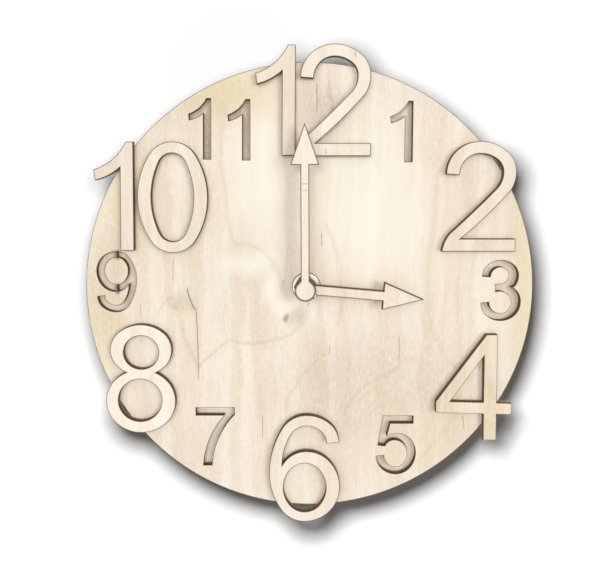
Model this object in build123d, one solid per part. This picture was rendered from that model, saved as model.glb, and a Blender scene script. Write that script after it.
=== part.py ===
from build123d import *
import math
import os

os.makedirs("parts", exist_ok=True)

# Plywood wall clock. Lengths are millimetres.
# Each piece is drawn as the clock is seen from the front: X to the right, Y up, and Z as the
# height above the wall. When a piece is written it is turned so that the clock hangs along +Z
# with its face towards -Y. The origin is where the hand axis meets the wall.

# Dial, numerals and hands
DIAL_DIAMETER = 250.0
BACKING_INSET = 1.0
DIAL_RIGHT_OF_AXIS = 2.5
DIAL_ABOVE_AXIS = -0.8
PLY_THICKNESS = 3.2
RAISED_HEIGHT_SHARE = 0.24
CUT_HEIGHT_SHARE = 0.1332
BRIDGE_WIDTH = 1.1
HUB_DIAMETER = 11.6
HUB_SKIN = 1.0
MINUTE_LENGTH = 90.1
MINUTE_STEM = 4.7
MINUTE_HEAD_WIDTH = 15.4
MINUTE_HEAD_LENGTH = 22.4
HOUR_LENGTH = 65.0
HOUR_STEM = 5.5
HOUR_HEAD_WIDTH = 15.2
HOUR_HEAD_LENGTH = 22.2
HAND_GAP = 0.8
MINUTE_HAND_ANGLE = -0.25
HOUR_HAND_ANGLE = 95.0

# Fixing through the dial
BUSHING_DIAMETER = 8.0
BUSHING_HOLE_CLEARANCE = 0.2
BUSHING_PROUD = 0.4
FLANGE_DIAMETER = 12.0
FLANGE_THICKNESS = 0.8
CHAMFER = 0.4
WASHER_DIAMETER = 16.0
WASHER_BORE = 9.6
WASHER_THICKNESS = 0.8
NUT_ACROSS_FLATS = 11.0
NUT_THICKNESS = 2.5
GASKET_DIAMETER = 20.0
GASKET_THICKNESS = 1.0

# Movement case, which is as wide as the cell needs and as deep as the train needs
CASE_WALL = 1.2
CASE_CORNER = 3.0
PARTING_HEIGHT = 6.0
CASE_GAP = 0.1
LIP_THICKNESS = 0.8
LIP_HEIGHT = 1.2
PARTITION = 1.0
LATCH_WIDTH = 6.0
LATCH_REACH = 3.0
LATCH_THICKNESS = 0.6
LATCH_PLACE = 10.0

# Cell and its contacts
CELL_DIAMETER = 14.5
CELL_BODY = 49.2
CELL_NUB_DIAMETER = 5.4
CELL_NUB = 1.3
CELL_CHAMFER = 0.6
CELL_CLEARANCE = 0.3
BAY_CLEARANCE = 0.5
CONTACT_THICKNESS = 0.4
CONTACT_WIDTH = 9.0
CONTACT_REACH = 1.1
LEAD_WIDTH = 2.4
LEAD_GAP = 0.2
LEAD_TAB = 2.2

# Shafts and fits
RUNNING_CLEARANCE = 0.05
END_PLAY = 0.15
HOUR_PIPE = 5.0
MINUTE_ARBOR = 3.4
SECONDS_ARBOR = 1.0
PIVOT = 0.7
STAFF = 1.3
HOUR_BUSH_DIAMETER = 7.0
MINUTE_BUSH_DIAMETER = 6.0
COLLAR_WALL = 0.8
COLLAR_THICKNESS = 0.4
STUD_DIAMETER = 1.6
CLUTCH_DIAMETER = 4.6
CLUTCH_HEIGHT = 0.3

# Wheels: tooth counts and modules
WHEEL_THICKNESS = 0.8
PINION_OVERHANG = 0.2
LAYER_GAP = 0.3
TRAIN_MODULE = 0.25
SECONDS_MODULE = 0.30
ROTOR_MODULE = 0.22
MOTION_MODULE = 0.35
ROTOR_TEETH = 8
INTERMEDIATE_TEETH = 48
INTERMEDIATE_PINION_TEETH = 8
SECONDS_TEETH = 40
SECONDS_PINION_TEETH = 8
THIRD_TEETH = 60
THIRD_PINION_TEETH = 8
CENTRE_TEETH = 64
CANNON_TEETH = 12
MINUTE_WHEEL_TEETH = 36
MINUTE_PINION_TEETH = 10
HOUR_TEETH = 40
SETTING_TEETH = 12
PRESSURE_ANGLE = 20
PROFILE_SHIFT_SHARE = 0.5
ADDENDUM_SHARE = 0.8
DEDENDUM_SHARE = 1.25
THINNING_SHARE = 0.08

# Bearings from one arbor to the next, in degrees anticlockwise from three o'clock
THIRD_BEARING = 190
INTERMEDIATE_BEARING = 40
ROTOR_BEARING = 60
MINUTE_WHEEL_BEARING = 90
SETTING_BEARING = 140

# Train plates, coil, board and setting knob
PLATE_THICKNESS = 1.0
PLATE_LIFT = 0.15
PLATE_SIDE_GAP = 7.3
PLATE_BAY_GAP = 1.7
PLATE_COIL_GAP = 1.0
PLATE_CORNER = 2.0
LEG_DIAMETER = 3.6
LEG_INSET = 2.6
SCREW_DIAMETER = 1.4
SCREW_CLEARANCE = 0.1
SCREW_BITE = 3.0
SCREW_HEAD_DIAMETER = 2.8
SCREW_HEAD = 0.9
MAGNET_DIAMETER = 5.0
MAGNET_HEIGHT = 1.7
STATOR_GAP = 0.4
STATOR_THICKNESS = 0.8
STATOR_ARM = 4.0
STATOR_RING = 2.2
COIL_LENGTH = 18.0
COIL_DIAMETER = 6.8
COIL_WALL_GAP = 1.2
BOBBIN_FLANGE = 8.0
BOBBIN_WALL = 0.8
CORE_WIDTH = 3.0
CORE_THICKNESS = 0.8
BOARD_WALL_GAP = 1.2
BOARD_PLATE_GAP = 0.6
BOARD_WIDTH = 17.0
BOARD_LENGTH = 9.2
BOARD_THICKNESS = 0.8
BOARD_HEIGHT = 7.6
BOARD_POST = 3.0
CRYSTAL_DIAMETER = 2.0
CRYSTAL_LENGTH = 6.0
CHIP_DIAMETER = 5.0
CHIP_THICKNESS = 1.1
KNOB_DIAMETER = 9.6
KNOB_HEIGHT = 2.2
KNOB_RIBS = 16
KNOB_RIB_DEPTH = 0.35
KNOB_CLEARANCE = 0.5
SETTING_STAFF = 2.0
WELL_WALL = 0.8

# Hanger
HANGER_WIDTH = 24.0
HANGER_RISE = 11.0
HANGER_THICKNESS = 1.8
HANGER_SLOT_WIDTH = 11.0
HANGER_SLOT_HEIGHT = 6.0
HANGER_NOTCH = 1.2
HANGER_NOTCHES = 3
HANGER_CORNER = 3.0

# The case inside: the cell lies in a bay along the bottom, the coil along the top wall, the
# plates between them and the board in the left upper corner
CELL_LENGTH = CELL_BODY + CELL_NUB
BAY_HALF = CELL_LENGTH / 2 + RUNNING_CLEARANCE + CONTACT_REACH + CONTACT_THICKNESS
CASE_WIDTH = 2 * (BAY_HALF + CASE_WALL)
CELL_Y = -BAY_HALF + BAY_CLEARANCE + CELL_DIAMETER / 2
BAY_TOP = CELL_Y + CELL_DIAMETER / 2 + BAY_CLEARANCE + PARTITION
COIL_Y = BAY_HALF - COIL_WALL_GAP - BOBBIN_FLANGE / 2
PLATE_BOTTOM = BAY_TOP + PLATE_BAY_GAP
PLATE_TOP = COIL_Y - BOBBIN_FLANGE / 2 - PLATE_COIL_GAP
PLATE_RIGHT = BAY_HALF - PLATE_SIDE_GAP
PLATE_LEFT = -PLATE_RIGHT
BOARD_LEFT = -BAY_HALF + BOARD_WALL_GAP
BOARD_BOTTOM = PLATE_TOP + BOARD_PLATE_GAP

# Heights above the wall: first the movement, from the well of the setting knob through the layers
# of the train and the motion work to the front wall, or as far as the cell needs
WELL_FLOOR = 2 * KNOB_CLEARANCE + KNOB_HEIGHT
REAR_PLATE_BACK = WELL_FLOOR + WELL_WALL + PLATE_LIFT
REAR_PLATE_FACE = REAR_PLATE_BACK + PLATE_THICKNESS
LAYER_STEP = WHEEL_THICKNESS + PINION_OVERHANG + LAYER_GAP
INTERMEDIATE_BACK = REAR_PLATE_FACE + PINION_OVERHANG + LAYER_GAP
SECONDS_BACK = INTERMEDIATE_BACK + LAYER_STEP
THIRD_BACK = SECONDS_BACK + LAYER_STEP
TRAIN_PLATE_BACK = THIRD_BACK + WHEEL_THICKNESS + LAYER_GAP
TRAIN_PLATE_FACE = TRAIN_PLATE_BACK + PLATE_THICKNESS
CENTRE_BACK = TRAIN_PLATE_FACE + PINION_OVERHANG + LAYER_GAP
MOTION_BACK = CENTRE_BACK + LAYER_STEP
HOUR_WHEEL_BACK = MOTION_BACK + LAYER_STEP
TRAIN_HEIGHT = HOUR_WHEEL_BACK + WHEEL_THICKNESS + END_PLAY + FLANGE_THICKNESS
FRONT_WALL = max(TRAIN_HEIGHT, CELL_DIAMETER + 2 * CELL_CLEARANCE)
FLANGE_BACK = FRONT_WALL - FLANGE_THICKNESS
CASE_DEPTH = FRONT_WALL + CASE_WALL

# Then the discs, the numerals, the nut and the hands in front of it
BACKING_BACK = CASE_DEPTH + GASKET_THICKNESS
DIAL_BACK = BACKING_BACK + PLY_THICKNESS
DIAL_FACE = DIAL_BACK + PLY_THICKNESS
NUMERAL_FACE = DIAL_FACE + PLY_THICKNESS
WASHER_FACE = DIAL_FACE + WASHER_THICKNESS
NUT_FACE = WASHER_FACE + NUT_THICKNESS
BUSHING_END = NUT_FACE + BUSHING_PROUD
HOUR_HAND_BACK = BUSHING_END + HAND_GAP
HOUR_HAND_FACE = HOUR_HAND_BACK + PLY_THICKNESS
MINUTE_HAND_BACK = HOUR_HAND_FACE + HAND_GAP
MINUTE_HAND_FACE = MINUTE_HAND_BACK + PLY_THICKNESS


def write(shape, node):
    """Turns a piece from its drawing position to the hanging one and writes it."""
    export_step(Rot(90, 0, 0) * shape, f"parts/{node}.step")


def rod(diameter, bottom, top, at=(0, 0)):
    """A round bar between two heights."""
    bar = Cylinder(diameter / 2, top - bottom, align=(Align.CENTER, Align.CENTER, Align.MIN))
    return Pos(at[0], at[1], bottom) * bar


def tube(outer, bore, bottom, top, at=(0, 0)):
    """A round bar with a hole through it."""
    return rod(outer, bottom, top, at) - rod(bore, bottom, top, at)


def plate(sketch, bottom, top):
    """A flat sheet of the given outline between two heights."""
    return Pos(0, 0, bottom) * extrude(sketch, amount=top - bottom)


def block(left, right, low, high, bottom, top):
    """A box given by its sides."""
    box = Box(right - left, high - low, top - bottom, align=(Align.MIN, Align.MIN, Align.MIN))
    return Pos(left, low, bottom) * box


def polar(distance, bearing, start=(0, 0)):
    """The point at a distance and a bearing from another."""
    angle = math.radians(bearing)
    return start[0] + distance * math.cos(angle), start[1] + distance * math.sin(angle)


# Numerals
# Each outline is drawn in shares of the numeral's height, from its left side and its foot.
# A step is (x, y) for a straight line, ("up", x, y) for a quarter bend that starts upright and
# ends level, ("level", x, y) for one that starts level and ends upright, and
# ("bow", mx, my, x, y) for an arc through a middle point.
ONE_SHARES = [
    (0.0, 0.745), (0.012, 0.647), ("bow", 0.137, 0.692, 0.243, 0.766), (0.237, 0.0), (0.362, 0.0),
    (0.366, 1.0), (0.297, 1.0), ("bow", 0.187, 0.853, 0.0, 0.745),
]
TWO_SHARES = [
    (0.0, 0.0), (0.678, 0.0), (0.678, 0.117), (0.172, 0.117), ("bow", 0.411, 0.332, 0.630, 0.565),
    ("bow", 0.665, 0.644, 0.677, 0.732), ("up", 0.345, 1.013), ("level", 0.035, 0.712),
    (0.157, 0.703), ("up", 0.345, 0.9), ("level", 0.557, 0.732), ("bow", 0.544, 0.655, 0.5, 0.582),
    ("bow", 0.297, 0.377, 0.075, 0.168), ("bow", 0.027, 0.093, 0.0, 0.0),
]
THREE_SHARES = [
    (0.018, 0.742), ("up", 0.33, 1.013), ("level", 0.622, 0.752), ("up", 0.5, 0.555),
    ("bow", 0.618, 0.46, 0.66, 0.3), ("up", 0.33, -0.012), ("level", 0.0, 0.285),
    (0.129, 0.3), ("up", 0.33, 0.105), ("level", 0.512, 0.305), ("up", 0.31, 0.49),
    (0.24, 0.48), (0.24, 0.605), (0.3, 0.605), ("level", 0.468, 0.755), ("up", 0.32, 0.9),
    ("level", 0.151, 0.733), (0.018, 0.742),
]
FOUR_SHARES = [
    (0.465, 1.0), (0.567, 1.0), (0.567, 0.355), (0.707, 0.35), (0.707, 0.243), (0.567, 0.248),
    (0.567, 0.0), (0.447, 0.0), (0.447, 0.252), (0.0, 0.262), (0.0, 0.368), (0.465, 1.0),
]
FOUR_HOLE_SHARES = [(0.445, 0.803), (0.445, 0.36), (0.13, 0.367), (0.445, 0.803)]
FIVE_SHARES = [
    (0.113, 1.0), (0.622, 1.0), (0.622, 0.873), (0.228, 0.873), (0.174, 0.645),
    ("bow", 0.26, 0.683, 0.36, 0.695), ("level", 0.667, 0.36), ("up", 0.333, -0.012),
    ("level", 0.0, 0.3), (0.126, 0.31), ("up", 0.333, 0.105), ("level", 0.527, 0.347),
    ("up", 0.315, 0.583), ("bow", 0.21, 0.557, 0.146, 0.477), (0.027, 0.493), (0.113, 1.0),
]
SIX_SHARES = [
    (0.657, 0.75), ("up", 0.352, 1.013), ("level", 0.0, 0.455), ("up", 0.333, -0.013),
    ("level", 0.665, 0.323), ("up", 0.35, 0.667), ("bow", 0.22, 0.632, 0.124, 0.533),
    ("up", 0.352, 0.907), ("level", 0.538, 0.74), (0.657, 0.75),
]
SEVEN_SHARES = [
    (0.0, 1.0), (0.654, 1.0), (0.654, 0.885), ("bow", 0.415, 0.555, 0.264, 0.0), (0.12, 0.0),
    ("bow", 0.27, 0.55, 0.487, 0.872), (0.0, 0.872), (0.0, 1.0),
]
SIX_COUNTER_SHARES = (0.334, 0.317, 0.2, 0.233)
EIGHT_RING_SHARES = [(0.334, 0.771, 0.287, 0.242), (0.327, 0.288, 0.325, 0.301)]
EIGHT_COUNTER_SHARES = [(0.335, 0.75, 0.163, 0.157), (0.32, 0.297, 0.202, 0.2)]
NOUGHT_RING_SHARES = (0.3225, 0.5, 0.3225, 0.511)
NOUGHT_COUNTER_SHARES = (0.321, 0.5, 0.194, 0.406)

# The left foot corner of each numeral, in shares of the dial's radius
RAISED_PLACE_SHARES = {
    "numeral_twelve_one": ("one", -0.237, 0.590),
    "numeral_twelve_two": ("two", -0.058, 0.588),
    "numeral_two": ("two", 0.583, 0.167),
    "numeral_four": ("four", 0.566, -0.686),
    "numeral_six": ("six", -0.182, -1.058),
    "numeral_eight": ("eight", -0.912, -0.646),
    "numeral_ten_one": ("one", -0.949, 0.171),
    "numeral_ten_nought": ("nought", -0.758, 0.166),
}
CUT_PLACE_SHARES = [
    ("one", 0.358, 0.563),
    ("three", 0.770, -0.146),
    ("five", 0.305, -0.854),
    ("seven", -0.514, -0.816),
    ("nine", -0.953, -0.106),
    ("one", -0.534, 0.575),
    ("one", -0.361, 0.571),
]


def quarter_bend(start, end, upright_first):
    """A quarter bend whose ends are upright and level: two arcs that run into each other.

    Each arc leaves its end along a tangent that is the same share of that side of the bend,
    and the arcs meet on the line between the tangents' tips.
    """
    across, along = end[0] - start[0], end[1] - start[1]
    squares, product = across**2 + along**2, abs(across * along)
    share = (math.sqrt(squares**2 + 2 * squares * product) - squares) / (2 * product)
    if upright_first:
        tips = [(start[0], start[1] + share * along), (end[0] - share * across, end[1])]
        first_part = abs(along) / (abs(along) + abs(across))
    else:
        tips = [(start[0] + share * across, start[1]), (end[0], end[1] - share * along)]
        first_part = abs(across) / (abs(along) + abs(across))
    run = (tips[1][0] - tips[0][0], tips[1][1] - tips[0][1])
    joint = (tips[0][0] + first_part * run[0], tips[0][1] + first_part * run[1])
    leaving = (tips[0][0] - start[0], tips[0][1] - start[1])
    return [TangentArc(start, joint, tangent=leaving), TangentArc(joint, end, tangent=run)]


def outline(step_shares, height):
    """The face inside a closed outline given in shares of the height."""
    here = (step_shares[0][0] * height, step_shares[0][1] * height)
    edges = []
    for step in step_shares[1:]:
        values = [value * height for value in step if not isinstance(value, str)]
        there = (values[-2], values[-1])
        if step[0] == "bow":
            edges.append(ThreePointArc(here, (values[0], values[1]), there))
        elif step[0] in ("up", "level"):
            edges += quarter_bend(here, there, step[0] == "up")
        else:
            edges.append(Line(here, there))
        here = there
    return make_face(Wire(edges))


def oval(ring_shares, height):
    """An upright oval given by its centre and half sizes in shares of the height."""
    x, y, half_width, half_height = [value * height for value in ring_shares]
    corners = [(x + half_width, y), (x, y + half_height), (x - half_width, y), (x, y - half_height)]
    edges = []
    for index, start in enumerate(corners):
        edges += quarter_bend(start, corners[(index + 1) % len(corners)], index % 2 == 0)
    return make_face(Wire(edges))


def one(height):
    return outline(ONE_SHARES, height)


def two(height):
    return outline(TWO_SHARES, height)


def three(height):
    return outline(THREE_SHARES, height)


def four(height):
    return outline(FOUR_SHARES, height) - outline(FOUR_HOLE_SHARES, height)


def five(height):
    return outline(FIVE_SHARES, height)


def six(height):
    return outline(SIX_SHARES, height) - oval(SIX_COUNTER_SHARES, height)


def seven(height):
    return outline(SEVEN_SHARES, height)


def eight(height):
    rings = oval(EIGHT_RING_SHARES[0], height) + oval(EIGHT_RING_SHARES[1], height)
    return rings - oval(EIGHT_COUNTER_SHARES[0], height) - oval(EIGHT_COUNTER_SHARES[1], height)


def nine(height):
    """A six turned upside down, with two bridges that hold its counter in the dial."""
    centre = SIX_COUNTER_SHARES[0] * height
    turned = Pos(2 * centre, height, 0) * Rot(0, 0, 180) * six(height)
    bridges = Pos(centre, height * (1 - SIX_COUNTER_SHARES[1]), 0) * Rectangle(BRIDGE_WIDTH, height)
    return turned - bridges


def nought(height):
    return oval(NOUGHT_RING_SHARES, height) - oval(NOUGHT_COUNTER_SHARES, height)


NUMERALS = {
    "nought": nought, "one": one, "two": two, "three": three, "four": four,
    "five": five, "six": six, "seven": seven, "eight": eight, "nine": nine,
}


def placed_numeral(name, x_share, y_share, height):
    """A numeral's flat outline, at its place on the dial."""
    x = DIAL_RIGHT_OF_AXIS + x_share * DIAL_DIAMETER / 2
    y = DIAL_ABOVE_AXIS + y_share * DIAL_DIAMETER / 2
    return Pos(x, y, 0) * NUMERALS[name](height)


def backing_disc():
    """The plain disc that closes the cut-through numerals from behind."""
    middle = (DIAL_RIGHT_OF_AXIS, DIAL_ABOVE_AXIS)
    disc = rod(DIAL_DIAMETER - 2 * BACKING_INSET, BACKING_BACK, DIAL_BACK, middle)
    return disc - rod(BUSHING_DIAMETER + 2 * BUSHING_HOLE_CLEARANCE, BACKING_BACK, DIAL_BACK)


def dial_disc():
    """The front disc, with the odd numerals cut right through."""
    disc = rod(DIAL_DIAMETER, DIAL_BACK, DIAL_FACE, (DIAL_RIGHT_OF_AXIS, DIAL_ABOVE_AXIS))
    disc -= rod(BUSHING_DIAMETER + 2 * BUSHING_HOLE_CLEARANCE, DIAL_BACK, DIAL_FACE)
    height = CUT_HEIGHT_SHARE * DIAL_DIAMETER
    for name, x_share, y_share in CUT_PLACE_SHARES:
        disc -= plate(placed_numeral(name, x_share, y_share, height), DIAL_BACK, DIAL_FACE)
    return disc


def raised_numeral(name, x_share, y_share):
    """A separate even numeral, glued on the dial's face."""
    height = RAISED_HEIGHT_SHARE * DIAL_DIAMETER
    return plate(placed_numeral(name, x_share, y_share, height), DIAL_FACE, NUMERAL_FACE)


# Hands

def hand_outline(length, stem, head_width, head_length, clockwise):
    """A round hub, a straight stem and an arrowhead, turned clockwise from twelve o'clock."""
    neck = length - head_length
    half = head_width / 2
    head = make_face(Polyline((-half, neck), (half, neck), (0, length), close=True))
    shaft = Pos(0, neck / 2, 0) * Rectangle(stem, neck)
    return Rot(0, 0, -clockwise) * (Circle(HUB_DIAMETER / 2) + shaft + head)


def hour_hand():
    arrow = hand_outline(HOUR_LENGTH, HOUR_STEM, HOUR_HEAD_WIDTH, HOUR_HEAD_LENGTH, HOUR_HAND_ANGLE)
    solid = plate(arrow, HOUR_HAND_BACK, HOUR_HAND_FACE)
    return solid - rod(HOUR_BUSH_DIAMETER, HOUR_HAND_BACK, HOUR_HAND_FACE)


def minute_hand():
    """The hub's bore stops short of the face, so that the front shows plain wood."""
    arrow = hand_outline(
        MINUTE_LENGTH, MINUTE_STEM, MINUTE_HEAD_WIDTH, MINUTE_HEAD_LENGTH, MINUTE_HAND_ANGLE
    )
    solid = plate(arrow, MINUTE_HAND_BACK, MINUTE_HAND_FACE)
    return solid - rod(MINUTE_BUSH_DIAMETER, MINUTE_HAND_BACK, MINUTE_HAND_FACE - HUB_SKIN)


def hand_bush(outer, bore, back, face):
    """A push-on bush with a collar behind the hand."""
    sleeve = tube(outer, bore, back, face)
    collar = tube(outer + 2 * COLLAR_WALL, bore, back - COLLAR_THICKNESS, back)
    return sleeve + collar


# Wheels

def involute(angle):
    return math.tan(angle) - angle


def gear_outline(teeth, module, shift_share, flank_radii, phase):
    """Involute teeth with straight runs between the flank radii; a tooth points along phase."""
    pressure = math.radians(PRESSURE_ANGLE)
    pitch_radius = teeth * module / 2
    base_radius = pitch_radius * math.cos(pressure)
    half_tooth = (math.pi / 4 + shift_share * math.tan(pressure) - THINNING_SHARE) * module
    points = []
    for tooth in range(teeth):
        centre = math.radians(phase) + 2 * math.pi * tooth / teeth
        rising = []
        for radius in flank_radii:
            slope = math.acos(min(1, base_radius / radius))
            half_angle = half_tooth / pitch_radius + involute(pressure) - involute(slope)
            rising.append((radius, half_angle))
        for side, run in ((-1, rising), (1, rising[::-1])):
            for radius, half_angle in run:
                angle = centre + side * half_angle
                points.append((radius * math.cos(angle), radius * math.sin(angle)))
    return make_face(Polyline(*points, close=True))


def wheel_outline(teeth, module, phase):
    """A wheel's teeth are thinner at the pitch circle, and one straight run makes each flank."""
    middle = teeth / 2 - PROFILE_SHIFT_SHARE
    root, tip = (middle - DEDENDUM_SHARE) * module, (middle + ADDENDUM_SHARE) * module
    return gear_outline(teeth, module, -PROFILE_SHIFT_SHARE, (root, tip), phase)


def pinion_outline(teeth, module, phase):
    """A pinion's teeth are thicker at the pitch circle, and two runs make each flank."""
    middle = teeth / 2 + PROFILE_SHIFT_SHARE
    root, tip = (middle - DEDENDUM_SHARE) * module, (middle + ADDENDUM_SHARE) * module
    base = teeth * module / 2 * math.cos(math.radians(PRESSURE_ANGLE))
    return gear_outline(teeth, module, PROFILE_SHIFT_SHARE, (root, base, (base + tip) / 2, tip), phase)


def meshing_phase(teeth, partner_teeth, partner_phase, bearing):
    """The phase that puts this gear's teeth in the gaps of a partner, seen along bearing."""
    partner_turns = (bearing - partner_phase) * partner_teeth / 360
    return bearing + 180 - (0.5 - partner_turns) * 360 / teeth


def centre_distance(teeth, partner_teeth, module):
    return (teeth + partner_teeth) * module / 2


THIRD_DISTANCE = centre_distance(THIRD_TEETH, SECONDS_PINION_TEETH, TRAIN_MODULE)
CENTRE_MODULE = 2 * THIRD_DISTANCE / (CENTRE_TEETH + THIRD_PINION_TEETH)
THIRD_AT = polar(THIRD_DISTANCE, THIRD_BEARING)
INTERMEDIATE_DISTANCE = centre_distance(SECONDS_TEETH, INTERMEDIATE_PINION_TEETH, SECONDS_MODULE)
INTERMEDIATE_AT = polar(INTERMEDIATE_DISTANCE, INTERMEDIATE_BEARING)
ROTOR_DISTANCE = centre_distance(INTERMEDIATE_TEETH, ROTOR_TEETH, ROTOR_MODULE)
ROTOR_AT = polar(ROTOR_DISTANCE, ROTOR_BEARING, INTERMEDIATE_AT)
MOTION_DISTANCE = centre_distance(MINUTE_WHEEL_TEETH, CANNON_TEETH, MOTION_MODULE)
HOUR_MODULE = 2 * MOTION_DISTANCE / (HOUR_TEETH + MINUTE_PINION_TEETH)
MINUTE_WHEEL_AT = polar(MOTION_DISTANCE, MINUTE_WHEEL_BEARING)
SETTING_DISTANCE = centre_distance(MINUTE_WHEEL_TEETH, SETTING_TEETH, MOTION_MODULE)
SETTING_AT = polar(SETTING_DISTANCE, SETTING_BEARING, MINUTE_WHEEL_AT)


def gear(outline_face, bottom, top, at=(0, 0)):
    return Pos(at[0], at[1], 0) * plate(outline_face, bottom, top)


def hour_wheel():
    """The hour pipe with its wheel, which the pinion beside it turns."""
    bore = MINUTE_ARBOR + 2 * RUNNING_CLEARANCE
    teeth = wheel_outline(HOUR_TEETH, HOUR_MODULE, meshing_phase(
        HOUR_TEETH, MINUTE_PINION_TEETH, 0, MINUTE_WHEEL_BEARING + 180))
    wheel = gear(teeth, HOUR_WHEEL_BACK, HOUR_WHEEL_BACK + WHEEL_THICKNESS)
    pipe = rod(HOUR_PIPE, HOUR_WHEEL_BACK, HOUR_HAND_FACE)
    return wheel + pipe - rod(bore, HOUR_WHEEL_BACK, HOUR_HAND_FACE)


def minute_arbor():
    """The minute hand's tube, with the cannon pinion and the clutch seat of the centre wheel."""
    back = TRAIN_PLATE_FACE + END_PLAY
    bore = SECONDS_ARBOR + 2 * RUNNING_CLEARANCE
    phase = meshing_phase(CANNON_TEETH, MINUTE_WHEEL_TEETH, 0, MINUTE_WHEEL_BEARING + 180)
    teeth = pinion_outline(CANNON_TEETH, MOTION_MODULE, phase)
    pinion = gear(teeth, MOTION_BACK - PINION_OVERHANG, MOTION_BACK + WHEEL_THICKNESS + PINION_OVERHANG)
    body = pinion + rod(MINUTE_ARBOR, back, MINUTE_HAND_FACE - HUB_SKIN)
    return body - rod(bore, back, MINUTE_HAND_FACE - HUB_SKIN)


def centre_wheel():
    """The wheel that drives the minute arbor through a light friction fit, so hands can be set."""
    phase = meshing_phase(CENTRE_TEETH, THIRD_PINION_TEETH, 0, THIRD_BEARING + 180)
    teeth = wheel_outline(CENTRE_TEETH, CENTRE_MODULE, phase)
    wheel = gear(teeth, CENTRE_BACK, CENTRE_BACK + WHEEL_THICKNESS)
    hub_back = CENTRE_BACK - CLUTCH_HEIGHT
    hub = rod(CLUTCH_DIAMETER, hub_back, CENTRE_BACK)
    return wheel + hub - rod(MINUTE_ARBOR + 2 * RUNNING_CLEARANCE, hub_back, CENTRE_BACK + WHEEL_THICKNESS)


def third_wheel():
    """The third wheel below the train plate, and its pinion above the plate."""
    wheel = gear(wheel_outline(THIRD_TEETH, TRAIN_MODULE, 0), THIRD_BACK, THIRD_BACK + WHEEL_THICKNESS)
    pinion = gear(
        pinion_outline(THIRD_PINION_TEETH, CENTRE_MODULE, 0),
        CENTRE_BACK - PINION_OVERHANG, CENTRE_BACK + WHEEL_THICKNESS + PINION_OVERHANG,
    )
    staff = rod(STAFF, REAR_PLATE_FACE + END_PLAY, CENTRE_BACK)
    pivot = rod(PIVOT, REAR_PLATE_BACK, REAR_PLATE_FACE + END_PLAY)
    return Pos(THIRD_AT[0], THIRD_AT[1], 0) * (wheel + pinion + staff + pivot)


def seconds_wheel():
    """The seconds wheel and pinion, pressed on a long steel arbor."""
    phase = meshing_phase(SECONDS_TEETH, INTERMEDIATE_PINION_TEETH, 0, INTERMEDIATE_BEARING + 180)
    teeth = wheel_outline(SECONDS_TEETH, SECONDS_MODULE, phase)
    wheel = gear(teeth, SECONDS_BACK, SECONDS_BACK + WHEEL_THICKNESS)
    phase = meshing_phase(SECONDS_PINION_TEETH, THIRD_TEETH, 0, THIRD_BEARING + 180)
    pinion = gear(
        pinion_outline(SECONDS_PINION_TEETH, TRAIN_MODULE, phase),
        SECONDS_BACK + WHEEL_THICKNESS, TRAIN_PLATE_BACK - END_PLAY,
    )
    return wheel + pinion - rod(SECONDS_ARBOR, SECONDS_BACK, TRAIN_PLATE_BACK)


def seconds_arbor():
    """The steel pin through the train; its front end stays inside the minute arbor."""
    return rod(SECONDS_ARBOR, REAR_PLATE_BACK, DIAL_FACE)


def intermediate_wheel():
    """The first wheel after the rotor, with the pinion that turns the seconds wheel."""
    phase = meshing_phase(INTERMEDIATE_TEETH, ROTOR_TEETH, 0, ROTOR_BEARING + 180)
    wheel = gear(
        wheel_outline(INTERMEDIATE_TEETH, ROTOR_MODULE, phase),
        INTERMEDIATE_BACK, INTERMEDIATE_BACK + WHEEL_THICKNESS,
    )
    pinion = gear(
        pinion_outline(INTERMEDIATE_PINION_TEETH, SECONDS_MODULE, 0),
        INTERMEDIATE_BACK, SECONDS_BACK + WHEEL_THICKNESS + PINION_OVERHANG,
    )
    staff = rod(STAFF, REAR_PLATE_FACE + END_PLAY, TRAIN_PLATE_BACK - END_PLAY)
    pivots = rod(PIVOT, REAR_PLATE_BACK, TRAIN_PLATE_FACE)
    return Pos(INTERMEDIATE_AT[0], INTERMEDIATE_AT[1], 0) * (wheel + pinion + staff + pivots)


MAGNET_BACK = TRAIN_PLATE_BACK - END_PLAY - MAGNET_HEIGHT


def rotor_pinion():
    """The rotor's plastic staff and pinion."""
    pinion = gear(
        pinion_outline(ROTOR_TEETH, ROTOR_MODULE, 0),
        INTERMEDIATE_BACK - PINION_OVERHANG, INTERMEDIATE_BACK + WHEEL_THICKNESS + PINION_OVERHANG,
    )
    staff = rod(STAFF, REAR_PLATE_FACE + END_PLAY, TRAIN_PLATE_BACK - END_PLAY)
    pivots = rod(PIVOT, REAR_PLATE_BACK, TRAIN_PLATE_FACE)
    return Pos(ROTOR_AT[0], ROTOR_AT[1], 0) * (pinion + staff + pivots)


def rotor_magnet():
    """The round magnet that the coil turns half a turn each second."""
    return tube(MAGNET_DIAMETER, STAFF, MAGNET_BACK, TRAIN_PLATE_BACK - END_PLAY, ROTOR_AT)


def minute_wheel():
    """The wheel and pinion of the motion work, on a stud of the front case."""
    wheel_top = MOTION_BACK + WHEEL_THICKNESS
    wheel = gear(wheel_outline(MINUTE_WHEEL_TEETH, MOTION_MODULE, 0), MOTION_BACK, wheel_top)
    pinion = gear(
        pinion_outline(MINUTE_PINION_TEETH, HOUR_MODULE, 0),
        wheel_top, FRONT_WALL - END_PLAY,
    )
    bore = rod(STUD_DIAMETER + 2 * RUNNING_CLEARANCE, MOTION_BACK, FRONT_WALL)
    return Pos(MINUTE_WHEEL_AT[0], MINUTE_WHEEL_AT[1], 0) * (wheel + pinion - bore)


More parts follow.
